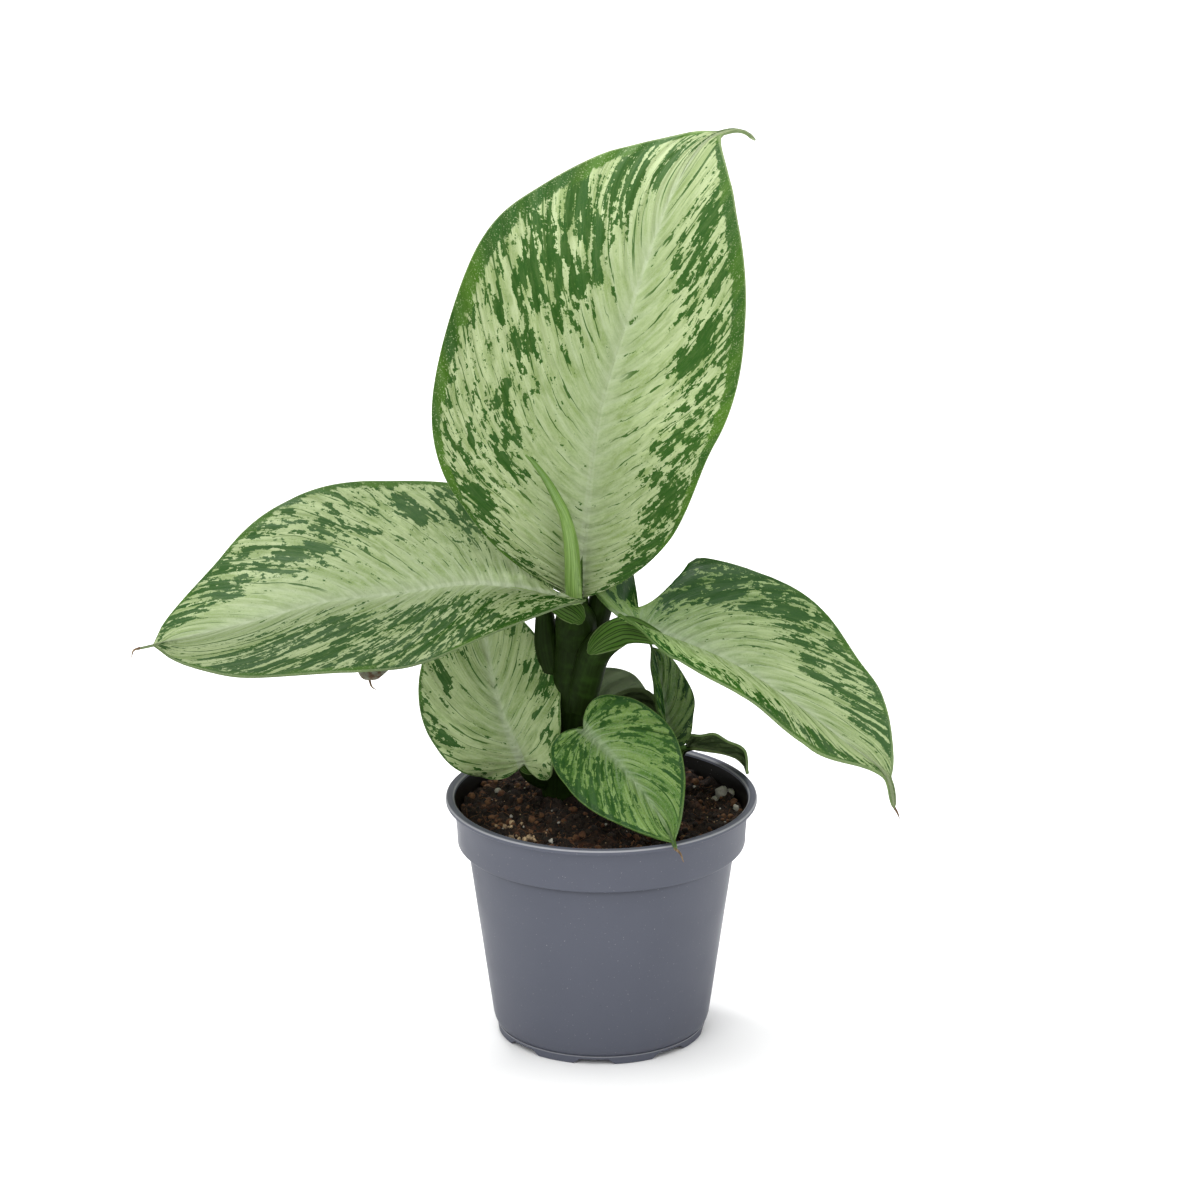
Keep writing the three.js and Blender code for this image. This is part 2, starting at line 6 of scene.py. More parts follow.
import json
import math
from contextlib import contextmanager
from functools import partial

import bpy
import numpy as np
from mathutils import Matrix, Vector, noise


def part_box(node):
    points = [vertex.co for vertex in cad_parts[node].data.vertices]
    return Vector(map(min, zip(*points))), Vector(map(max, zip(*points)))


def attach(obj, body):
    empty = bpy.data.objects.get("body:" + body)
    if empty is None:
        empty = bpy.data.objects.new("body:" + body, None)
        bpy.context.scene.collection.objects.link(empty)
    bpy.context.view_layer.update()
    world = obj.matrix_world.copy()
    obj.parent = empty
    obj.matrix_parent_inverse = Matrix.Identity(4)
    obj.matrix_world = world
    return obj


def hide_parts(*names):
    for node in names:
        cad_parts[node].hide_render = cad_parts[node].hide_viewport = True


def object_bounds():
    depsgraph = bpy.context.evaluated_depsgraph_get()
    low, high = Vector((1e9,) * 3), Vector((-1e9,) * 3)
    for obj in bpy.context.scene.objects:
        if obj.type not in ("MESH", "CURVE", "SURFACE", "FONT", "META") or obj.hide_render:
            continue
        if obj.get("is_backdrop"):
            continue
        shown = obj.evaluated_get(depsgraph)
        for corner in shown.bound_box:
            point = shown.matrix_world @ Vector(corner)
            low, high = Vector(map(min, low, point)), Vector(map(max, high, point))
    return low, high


bl_info = {
    "name": "Potted Dieffenbachia",
    "version": (1, 0, 0),
    "blender": (4, 5, 0),
    "location": "View3D > Sidebar > Dieffenbachia",
    "description": "Builds a young variegated dieffenbachia in a nursery pot",
    "category": "Add Mesh",
}

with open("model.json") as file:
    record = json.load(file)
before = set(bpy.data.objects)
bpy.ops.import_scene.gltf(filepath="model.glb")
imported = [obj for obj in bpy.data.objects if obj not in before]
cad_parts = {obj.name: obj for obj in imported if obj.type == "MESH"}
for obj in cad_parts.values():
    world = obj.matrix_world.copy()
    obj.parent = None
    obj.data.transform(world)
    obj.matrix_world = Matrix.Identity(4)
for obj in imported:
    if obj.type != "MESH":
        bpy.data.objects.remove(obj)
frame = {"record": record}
CAD_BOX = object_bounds()

MM = 0.001
POT_AXIS = np.array([16.75, 0.25, 0.0])      # the pot's axis in the frame, in mm
UV_UNIT = 100                                # millimetres to one unit of the leaves' UV map

# ---------------------------------------------------------------- the leaves, in millimetres
# rib: points of the midrib from base to tip. face: the way the upper side looks at base, middle
# and tip. half: widest left and right half. fold: how far the halves are raised at the midrib,
# in degrees, at base, middle and tip, and curl: their further turn from midrib to margin, left
# then right. lobe: how far the halves reach behind the base. swell, taper: exponents of the
# outline. tail: share that is drip tip, and tip: how wide that starts. narrow: where along the
# midrib the right half widens from a slim start. dip: place, spread and depth of a dip in the
# left half. wave: height, count and phases of the margin's waves. stalk, radii: points and radii
# from the blade down to the clasp on the stem, and guide: the side of the stalk's channel.
# thread, flap: points of a dry thread and of a dry curl at the tip.
LEAVES = {
    "leaf_tall": dict(
        rib=[(-4.5, 2.6, 87.1), (-2.8, 5.6, 102.5), (-0.3, 9.8, 121), (5.5, 16.3, 140),
             (11.8, 25.5, 156.5), (15.7, 30.8, 163.3), (20, 36, 168), (24.5, 40.3, 169),
             (27.6, 43, 168.1), (29.7, 44.2, 166.2)],
        face=[(-0.1, -0.9, 0.3), (-0.25, -0.75, -0.25), (-0.4, -0.45, 0.85)],
        half=(36.3, 34), fold=((20, 20, -1), (29, 27, 4)), curl=((-4, 26, 0), (13, 22, 1)),
        lobe=(0.7, 0.4), swell=1.83, taper=1.18, tail=0.06, tip=5, wave=(0.4, 2.5, 0, 0.4),
        stalk=[(-4.5, 3.2, 88.6), (-4.5, 3.4, 86), (-4.6, 4, 82), (-4.6, 4.2, 79.2)],
        radii=(1.2, 2, 2.2, 2.2)),
    "leaf_left": dict(
        rib=[(-3.5, -2, 88.2), (-23, -2.8, 91.8), (-39.3, -5, 90.5), (-53, -8.6, 90),
             (-68, -12.5, 87), (-87.6, -15.5, 83.2)],
        face=[(0.05, 0, 0.75), (0, -0.43, 0.8), (-0.15, -0.17, 1.15)],
        half=(26.1, 26.9), fold=((21, 13, 4), (2, 5, -3)), curl=((-8, 4, -3), (-3, 4, -22)),
        lobe=(1, 0), swell=0.86, taper=0.55, tail=0.03, wave=(0.4, 3, 0.2, 0.7), narrow=(4.5, 15),
        thread=[(-87, -15.3, 83.4), (-88.2, -15.8, 83), (-88.6, -16, 81.6)],
        stalk=[(-10, -1.8, 88.4), (-6.5, 0.2, 85.8), (-5, 2.8, 82.5), (-4.6, 4.2, 78)],
        radii=(1.2, 2.6, 4, 4.2), guide=(0.2, -1, 0.3)),
    "leaf_right": dict(
        rib=[(6.2, -3.4, 84), (22.3, -11, 80.2), (34.7, -18.7, 74.8), (45, -27, 69.4),
             (52.7, -35.3, 65.5), (54.3, -44.4, 62.2)],
        face=[(0.28, -0.26, 0.74), (0.51, -0.34, -0.05), (0.26, -0.56, 0.94)],
        half=(22.5, 21.9), fold=((23, 24, 11), (34, 19, 6)), curl=((8, -14, -2), (14, -12, -3)),
        lobe=(17, 4), swell=1.6, taper=1.17, tail=0.08, tip=4.5, wave=(0.3, 3, 0.1, 0.5),
        thread=[(54.1, -43.8, 62.5), (54.8, -44.4, 61.4), (55.3, -44, 60)],
        dip=(-3, 3.6, 38),
        stalk=[(9, -4.8, 83.2), (6, -3, 82.6), (2.5, -2, 81.2), (-1, -0.8, 77.5),
               (-2.8, 1, 71.5), (-4, 3, 65)],
        radii=(1.3, 2.5, 2.8, 3, 3.1, 3), guide=(-0.45, -0.9, 0.35)),
    "leaf_low_left": dict(
        rib=[(-15, 1.5, 53.5), (-19, 3, 63), (-21.5, 6, 72.5), (-22.5, 9.5, 82.5),
             (-21.5, 13, 91)],
        face=[(-0.4, -0.4, 0.2), (0, -0.92, 0.48), (0, -0.8, 0.6)],
        half=(15, 12.5), fold=((12, 11, 4), (19, 12, 5)), curl=((-3, -8, -6), (-15, -17, -5)),
        lobe=(3, 5.5), swell=1.1, taper=0.75, tail=0.1, wave=(0.3, 2.5, 0.3, 0.6),
        stalk=[(-15.6, 2.2, 56), (-14.6, 3.2, 51.8), (-12, 5.4, 48.9), (-8.6, 7.4, 47.8)],
        radii=(0.8, 1.3, 1.6, 1.8)),
    "leaf_front": dict(
        rib=[(-3.5, -5.7, 63.6), (3, -11.7, 59.1), (9.5, -18.7, 53.2), (13, -26.2, 49.8),
             (14, -33, 49.4)],
        face=[(-0.35, -0.4, 0.85), (-0.3, -0.5, 0.8), (-0.35, -0.7, 0.6)],
        half=(12, 11.5), fold=((7, 22, 8), (5, 17, 3)), curl=((-10, -4, -4), (-15, 1, -7)),
        lobe=(4.7, 3.5), swell=1.25, taper=1.1, tail=0.08, tip=2.6, wave=(0.25, 3, 0, 0.5),
        thread=[(13.8, -32.4, 49.5), (14.8, -33.8, 49), (15.4, -34.6, 47.6)],
        stalk=[(-2.4, -6.6, 62.8), (-3.9, -4.4, 62.4), (-5.2, -0.4, 59.4), (-6, 4, 57)],
        radii=(0.7, 1.2, 1.5, 1.7)),
    "leaf_inner_right": dict(
        rib=[(13, 8.7, 55), (12, 9.8, 64.3), (10.5, 9.3, 72), (9, 6.5, 77.5)],
        face=[(0.55, -0.85, 0.1), (0.65, -0.75, 0.1), (0.5, -0.9, 0.05)],
        half=(5.5, 5.5), fold=((34, 34, 17), (33, 29, 18)), curl=((0, 0, 0), (0, 0, 0)),
        lobe=(1, 1.5), swell=1.1, taper=0.9, tail=0.08, wave=(0.2, 2, 0, 0.5),
        stalk=[(12.9, 9, 56.5), (12.8, 9.4, 53.4), (12.2, 10.8, 50.4), (11.6, 11.8, 48.4)],
        radii=(0.7, 1.1, 1.3, 1.4)),
    "leaf_low_right": dict(
        rib=[(16.5, 13, 53.6), (20, 12.5, 53.1), (24.3, 12, 52.2), (27.3, 11, 50.8),
             (28.2, 9.4, 49)],
        face=[(-0.3, 0.5, 0.8), (0, 0.56, 0.85), (0.8, 0.35, 0.4)],
        half=(6.2, 6), fold=((10, 10, 5), (10, 10, 5)), curl=((0, 0, 0), (0, 0, 0)),
        lobe=(0.3, 0.3), swell=0.4, taper=0.32, tail=0.01, wave=(0.15, 2, 0, 0.5),
        stalk=[(17.6, 12.9, 53.5), (15.8, 13.4, 52), (14.4, 13.4, 49.4), (12.8, 12.8, 46.4)],
        radii=(0.6, 0.9, 1.1, 1.1)),
    "leaf_back": dict(
        rib=[(-1.5, 15, 57.5), (3, 17.5, 58.5), (8.5, 20, 55), (13, 22.5, 50.5)],
        face=[(-0.2, -0.1, 1), (0.1, -0.1, 1), (0.6, 0.2, 0.8)],
        half=(9.5, 8.5), fold=((40, 38, 20), (48, 46, 25)), curl=((0, 0, 0), (5, 5, 0)),
        lobe=(1.5, 1.5), swell=1, taper=0.8, tail=0.08, wave=(0.25, 2, 0, 0.5),
        stalk=[(0.2, 16, 58.2), (0.6, 15.6, 55.4), (4.6, 14.8, 50.6), (9.8, 13, 46.6)],
        radii=(0.7, 1.1, 1.3, 1.4)),
    "leaf_back_left": dict(
        rib=[(-15, 17, 70), (-24, 19.5, 76.5), (-34.5, 17, 79), (-42.5, 12, 75.5),
             (-45, 9.5, 68)],
        face=[(-0.4, -0.1, 0.9), (-0.1, 0.2, 1), (-0.6, 0.75, 0.2)],
        half=(8, 8), fold=((20, 14, 5), (20, 14, 5)), curl=((-20, -30, -20), (-20, -30, -20)),
        lobe=(1.5, 1.5), swell=1, taper=0.5, tail=0.05, wave=(0.3, 2, 0, 0.5),
        thread=[(-44.9, 9.8, 68.6), (-44.4, 9.2, 66.8), (-43.4, 9, 66)],
        flap=[(-47, 9.4, 70.2), (-45.6, 9.2, 69.2), (-43.6, 9.2, 69.4), (-40.8, 9.6, 70.6)],
        stalk=[(-17, 18, 71.6), (-13.6, 16, 69), (-10.4, 12, 65), (-7, 7.4, 61)],
        radii=(0.8, 1.4, 1.7, 1.9)),
}
LARGE = (120, 56)                # rows from base to tip, columns from margin to margin
SMALL = (72, 32)
LONGEST_SMALL = 35               # longest blade that does with the small grid
RIB_POINTS = 9                   # points of the midrib under a blade,
RIB_REACH = 0.86                 # and the share of the blade's length that it runs along

# stems: points, radii, heights of the leaf scars, and the withered sheaths beside them
TO_FRONT = (0, -1, 0)
STEMS = {
    "stem_main": dict(points=[(-8, 8, 37.4), (-7.4, 7.4, 52), (-6, 6, 62), (-5, 4.8, 70),
                              (-4.6, 4.2, 79.2)],
                      radii=(3.7, 4.1, 4.4, 4.4, 4), scars=(51, 58, 65, 72),
                      sheaths=[[(-2.6, 4.8, 76), (-1.2, 5, 81), (-0.3, 5.2, 85), (0, 5.4, 89.5)],
                               [(-7.5, 6.5, 61), (-9, 6.3, 69), (-10.4, 6.3, 77),
                                (-11, 6.3, 84)]]),
    "stem_side": dict(points=[(11, 12.6, 37.4), (11.4, 12.4, 44), (11.6, 12.3, 47.6)],
                      radii=(1.8, 1.9, 1.8), scars=(), sheaths=[]),
}
SPEAR = dict(points=[(-5.1, -0.4, 87.2), (-5.4, -0.4, 89.8), (-5.7, -0.1, 98), (-6.8, 0, 104),
                     (-8.4, -0.4, 108), (-10.4, -1, 112), (-12.6, -2, 115.5), (-14.3, -3, 117.6)],
             radii=(1.4, 1.5, 1.38, 1.05, 0.9, 0.68, 0.45, 0.15))

# the pot, in millimetres
AXIS = 1e-3                      # radius of the rings that are drawn to a point on the axis
COLLAR = 9.5                     # height of the collar with the lip
FOOT_GAPS = 8
FOOT_RADIUS = 19.1
DRAIN_HOLES = 4
DRAIN_RADIUS = 12

# the soil, in millimetres
SOIL_REACH = 27.1                # radius of its top, and the rings that make it
SOIL_RINGS = 96
SOIL_WALL = [(27.1, 43), (26.6, 40.3), (24.6, 38.2), (19.6, 4.6), (18.9, 3), (0, 2.9)]
STEM_SPOTS = [(-7.7, 7.7, 4.9), (11.3, 12.4, 2.8)]          # places and radii kept clear
PERLITE = [(23.4, 8.6, 1.9), (26, 2, 1), (22, 8.3, 1.2), (24.9, 9.2, 1.3), (-9.5, -17.5, 0.8),
           (2.6, -25.4, 0.9), (15, 16, 1.2), (-12, 19, 1.3), (-20, 9, 1)]    # places and sizes
CHIP_HEAPS = [((-17.4, -9.6), 1.2), ((-14.4, -16.6), 1.4)]  # middles and spreads
STRAND_STEPS = 5
STRAND_REACH = 26

# the stage: the lights' sizes and places in metres, and the camera
LIGHTS = {"top": (1.8, (-0.15, 0.1, 1.6)), "key": (0.8, (-0.5, -1.1, 1.15)),
          "glint": (0.16, (-0.3, 0.55, 1.2))}
CAMERA_RISE = math.radians(19.25)
CAMERA_DISTANCE = 1.2
CAMERA_TARGET = (-0.27, 0, 87.6)
FOCAL_PIXELS = 6296              # focal length in pixels of the frame
FRAME_PIXELS = 1200
SENSOR = 36


# ---------------------------------------------------------------- numbers and places
def placed(points):
    """Millimetres round the pot's axis, as metres in the frame."""
    return (np.asarray(points, float) + POT_AXIS) * MM


def unit(v):
    return v / np.maximum(np.linalg.norm(v, axis=-1, keepdims=True), 1e-9)


def square_to(v, along):
    """The direction of v, less its share along a line, with length 1."""
    return unit(v - along * (v * along).sum(-1, keepdims=True))


def eased(t):
    """From 0 to 1 with t, slowly at first."""
    return 1.5 * t * np.abs(t) - 0.5 * t**3


def smooth(value, low, high):
    x = np.clip((value - low) / (high - low), 0, 1)
    return x * x * (3 - 2 * x)


def three_way(values, x):
    """A quadratic through the values at base, middle and tip."""
    values = np.asarray(values, float)
    if values.ndim > 1:
        x = x[..., None]
    base, middle, tip = values
    return base * (1 - x) * (1 - 2 * x) + middle * 4 * x * (1 - x) + tip * x * (2 * x - 1)


def curve_through(points, steps=48):
    p = np.asarray(points, float)
    p = np.vstack([2 * p[0] - p[1], p, 2 * p[-1] - p[-2]])
    t = np.linspace(0, 1, steps, endpoint=False)[:, None]
    spans = [0.5 * (2 * b + (c - a) * t + (2 * a - 5 * b + 4 * c - d) * t**2
                    + (3 * b - a - 3 * c + d) * t**3)
             for a, b, c, d in zip(p, p[1:], p[2:], p[3:])]
    return np.vstack([*spans, p[-2:-1]])


def look_up(at, places, values):
    """Rows of values, read between the given places."""
    return np.stack([np.interp(at, places, values[:, k]) for k in range(values.shape[1])], -1)


class Line:
    """A smooth line through points, by its length."""

    def __init__(self, points):
        self.points = curve_through(points)
        steps = np.linalg.norm(np.diff(self.points, axis=0), axis=1)
        self.at = np.concatenate([[0], np.cumsum(steps)])
        self.length = self.at[-1]
        self.tangents = unit(np.gradient(self.points, self.at, axis=0))

    def place(self, p):
        inside = np.clip(p, 0, self.length)
        along = unit(look_up(inside, self.at, self.tangents))
        return look_up(inside, self.at, self.points) + along * (p - inside)[..., None], along


class Blade:
    """A leaf's blade. u runs from -1 at the left margin to 1 at the right, t from base to tip."""

    def __init__(self, leaf, look, thickness):
        self.leaf = leaf
        self.rib = Line(leaf["rib"])
        self.length = self.rib.length
        self.look = look
        self.thickness = thickness

    def vein_start(self, u, t):
        """How far along the midrib, in mm, the vein through this point leaves it."""
        sweep = np.where(u > 0, self.look["sweep"][1], self.look["sweep"][0])
        start = t - sweep * np.abs(u)
        return self.length * (0.35 * start + 0.65 * eased(start))

    def darkness(self, u, t):
        """How much of the blade's green is dark here, from 0 to 1."""
        look, right = self.look, (u > 0).astype(int)
        start = np.array(look["start"])[right]
        dark = np.array(look["amount"])[right] * smooth(np.abs(u), start - 0.15, start + 0.2)
        for at_u, at_t, wide, long, weight in look.get("clumps", ()):
            dark += weight * np.exp(-((u - at_u) / wide) ** 2 - ((t - at_t) / long) ** 2)
        return np.clip(dark, 0, 1)

    def outline(self, t, right):
        """Where the margin lies along the midrib and across it, and where its vein starts."""
        leaf = self.leaf
        side = right.astype(int)
        along = eased(t)
        body = np.minimum(t / (1 - leaf["tail"]), 1)
        widest = leaf["swell"] / (leaf["swell"] + leaf["taper"])
        bulge = (body / widest) ** leaf["swell"] * ((1 - body) / (1 - widest)) ** leaf["taper"]
        across = np.array(leaf["half"])[side] * bulge
        across += leaf.get("tip", 1) * np.sqrt(1 - t) * t**8 + 0.05 * np.sqrt(1 - t)
        slant = np.full_like(t, 0.2)
        if "narrow" in leaf:
            widening = 0.1 + 0.9 * smooth(self.length * along, *leaf["narrow"])
            across = np.where(right, across * widening, across)
            slant = 0.2 * smooth(along, 0, 0.7)
        lobe = np.array(leaf["lobe"])[side] * np.sin(np.pi * np.minimum(t / 0.42, 1))
        vein = self.length * (along - slant * 4 * along * (1 - along))
        return self.length * along - lobe, across, vein

    def sheet(self, u, t):
        """Points of the upper and lower face, and the distances across and along, in mm."""
        leaf = self.leaf
        right = u > 0
        side = right.astype(int)
        end, width, vein = self.outline(t, right)
        reach = np.abs(u)
        p = vein + (end - vein) * reach**1.35
        q = width * u
        x = np.clip(p / self.length, 0, 1)
        centre, along = self.rib.place(p)
        up = square_to(three_way(leaf["face"], x), along)
        half = np.array(leaf["half"])[side]
        fold, curl = (np.radians(np.where(right, three_way(leaf[key][1], x),
                                          three_way(leaf[key][0], x))) for key in ("fold", "curl"))
        curl /= half
        curl = np.where(np.abs(curl) < 1e-6, 1e-6, curl)
        out = np.abs(q)
        angle = fold + curl * out
        lateral = (np.sin(angle) - np.sin(fold)) / curl
        height, count, *phases = leaf["wave"]
        phase = np.array(phases)[side]
        raised = (np.cos(fold) - np.cos(angle)) / curl
        raised += height * (out / half) ** 2 * np.sin(2 * np.pi * (count * x + phase))
        if "dip" in leaf:
            place, spread, depth = leaf["dip"]
            raised -= np.where(right, 0, depth * (out / half) ** 2
                               * np.exp(-((p - place) / spread) ** 2))
        start = self.vein_start(u, t)
        raised += self.relief(reach, t, q, x, start)
        point = centre + np.cross(along, up) * (np.sign(q) * lateral)[..., None]
        depth = self.thickness / 2 / np.maximum(np.cos(angle), 0.5)
        upper = point + up * (raised + depth)[..., None]
        lower = point + up * (raised - depth)[..., None]
        return upper, lower, q, start

    def relief(self, reach, t, q, x, start):
        """The channel over the midrib, the furrows along the veins and a slow unevenness."""
        channel = -0.4 * np.exp(-((q / 0.9) ** 2)) * (1 - x)
        furrow = 0.13 * np.cos(2 * np.pi * start / self.look["spacing"])
        furrow *= smooth(reach, 0.02, 0.25) * (1 - smooth(reach, 0.7, 0.98))
        slow = 0.25 * np.sin(q / 3.1 + 5 * t) * np.sin(19 * t + q / 6) * smooth(reach, 0.15, 0.6)
        ease = smooth(t, 0.02, 0.15) * (1 - smooth(t, 0.85, 0.98))
        return channel + (furrow + slow) * ease


# ---------------------------------------------------------------- modelling
def select_only(*objects):
    bpy.ops.object.select_all(action="DESELECT")
    for o in objects:
        o.select_set(True)
    bpy.context.view_layer.objects.active = objects[0]


def join(*pieces):
    """Joins all pieces into the first one."""
    select_only(*pieces)
    bpy.ops.object.join()


@contextmanager
def edit_mode(piece):
    """Edit mode on one piece, with all of it selected."""
    select_only(piece)
    bpy.ops.object.mode_set(mode="EDIT")
    bpy.ops.mesh.select_all(action="SELECT")
    yield
    bpy.ops.object.mode_set(mode="OBJECT")


def positions(mesh):
    values = np.empty(len(mesh.vertices) * 3)
    mesh.vertices.foreach_get("co", values)
    return values.reshape(-1, 3)


def move_to(mesh, points):
    mesh.vertices.foreach_set("co", np.ascontiguousarray(points, dtype=float).ravel())
    mesh.update()


def add_grid(name, columns, rows):
    """A grid whose first coordinate runs from -1 to 1 and whose second from 0 to 1."""
    bpy.ops.object.select_all(action="DESELECT")
    bpy.ops.mesh.primitive_grid_add(x_subdivisions=columns, y_subdivisions=rows, size=2,
                                    calc_uvs=False)
    piece = bpy.context.object
    piece.name = piece.data.name = name
    flat = positions(piece.data)
    return piece, flat[:, 0], (flat[:, 1] + 1) / 2


def write_uv(mesh, name, values):
    """A UV map that gives each corner its vertex's pair of values."""
    corners = np.empty(len(mesh.loops), dtype=np.int32)
    mesh.loops.foreach_get("vertex_index", corners)
    layer = mesh.uv_layers.new(name=name)
    layer.data.foreach_set("uv", np.ascontiguousarray(values[corners], dtype=float).ravel())


def write_value(mesh, name, values):
    mesh.attributes.new(name, "FLOAT", "POINT").data.foreach_set("value", values)


def read_value(mesh, name):
    values = np.empty(len(mesh.vertices))
    mesh.attributes[name].data.foreach_get("value", values)
    return values


def merge_doubles(piece, distance=1e-7):
    with edit_mode(piece):
        bpy.ops.mesh.remove_doubles(threshold=distance)


def close_ends(piece, to_points=False):
    """Fills the open ends, or draws each to a point, and turns every face outwards."""
    with edit_mode(piece):
        bpy.ops.mesh.select_all(action="DESELECT")
        bpy.ops.mesh.select_mode(type="EDGE")
        bpy.ops.mesh.select_non_manifold()
        if to_points:
            bpy.ops.mesh.edge_collapse()
        else:
            bpy.ops.mesh.fill_holes(sides=0)
        bpy.ops.mesh.select_all(action="SELECT")
        bpy.ops.mesh.normals_make_consistent(inside=False)


def apply_modifier(piece, kind, **settings):
    select_only(piece)
    modifier = piece.modifiers.new(kind.title(), kind)
    for key, value in settings.items():
        setattr(modifier, key, value)
    bpy.ops.object.modifier_apply(modifier=modifier.name)


def smooth_faces(piece, degrees):
    """Smooth shading, apart from edges sharper than the given angle."""
    select_only(piece)
    bpy.ops.object.shade_smooth_by_angle(angle=math.radians(degrees))


def blade_piece(name, blade, size):
    """A blade as a sheet with a thickness, whose vertices know their place on the leaf."""
    rows, columns = size
    piece, u, t = add_grid(name, columns, rows)
    mesh = piece.data
    upper, _, q, vein = blade.sheet(u, t)
    move_to(mesh, placed(upper))
    write_uv(mesh, "leaf", np.stack([q, vein], -1) / UV_UNIT)
    write_value(mesh, "across", u)
    write_value(mesh, "along", t)
    write_value(mesh, "darkness", blade.darkness(u, t))
    write_value(mesh, "spot", blade.length * eased(t) / UV_UNIT)
    merge_doubles(piece)
    count = len(mesh.vertices)
    apply_modifier(piece, "SOLIDIFY", thickness=blade.thickness * MM, offset=0)
    mesh = piece.data
    upper, lower, *_ = blade.sheet(read_value(mesh, "across"), read_value(mesh, "along"))
    lower[:count] = upper[:count]
    move_to(mesh, placed(lower))
    return piece


def rod_piece(name, points, radii, section, steps, sides, guide, turn=2.0, channel=(2, 3)):
    """A rod along a line. section(angle, share, centre) scales its radius round and along it,
    and angle 0 looks towards the guide. Its colour turns into the midrib's at the share turn,
    and a pale channel opens on the guide's side between the two shares of channel. Shares past
    1 leave both out."""
    line = Line(points)
    piece, a, share = add_grid(name, sides, steps)
    angle = a * np.pi
    centre, along = line.place(share * line.length)
    knots = [Line(points[:k + 1]).length if k else 0 for k in range(len(points))]
    radius = np.interp(share, np.array(knots) / knots[-1], radii)
    front = square_to(np.broadcast_to(np.asarray(guide, float), centre.shape), along)
    side = np.cross(along, front)
    radius = radius * section(angle, share, centre)
    round_line = front * np.cos(angle)[:, None] + side * np.sin(angle)[:, None]
    mesh = piece.data
    move_to(mesh, placed(centre + round_line * radius[:, None]))
    write_uv(mesh, "leaf", np.stack([a * 10, share * line.length], -1) / UV_UNIT)
    write_value(mesh, "across", smooth(share, turn - 0.03, turn + 0.02))
    write_value(mesh, "along", share)
    opens, full = channel
    opening = 0.46 * np.clip((share - opens) / (full - opens), 0, 1) ** 0.5
    inside = np.abs(a) / np.maximum(opening, 1e-3)
    write_value(mesh, "channel", np.where(opening > 0.02, np.minimum(inside, 2), 2))
    merge_doubles(piece)
    close_ends(piece)
    return piece


def keep(piece, node, slot, *materials):
    """Gives the finished piece its materials and its place in the frame."""
    for material in materials:
        piece.data.materials.append(material)
    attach(piece, "root")
    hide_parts(node)


# ---------------------------------------------------------------- materials
BLACK = (0, 0, 0, 1)
WHITE = (1, 1, 1, 1)


def paint(colour):
    """An sRGB colour from 0 to 255, as the linear colour that a shader takes."""
    def linear(c):
        c /= 255
        return c / 12.92 if c <= 0.04045 else ((c + 0.055) / 1.055) ** 2.4
    return (*map(linear, colour), 1.0)


def dimmed(colour, share):
    """A shader's colour from a share of an sRGB one."""
    return paint(int(c * share) for c in colour)


def mixed(a, b, share):
    return tuple(x + (y - x) * share for x, y in zip(a, b))


class Wire:
    """A node's output. Signs of arithmetic on it add the nodes that reckon with it."""

    def __init__(self, shader, socket):
        self.shader = shader
        self.socket = socket

    def __add__(self, other):
        return self.shader.math("ADD", self, other)

    def __sub__(self, other):
        return self.shader.math("SUBTRACT", self, other)

    def __rsub__(self, other):
        return self.shader.math("SUBTRACT", other, self)

    def __mul__(self, other):
        return self.shader.math("MULTIPLY", self, other)

    def __truediv__(self, other):
        return self.shader.math("DIVIDE", self, other)

    def __abs__(self):
        return self.shader.math("ABSOLUTE", self)


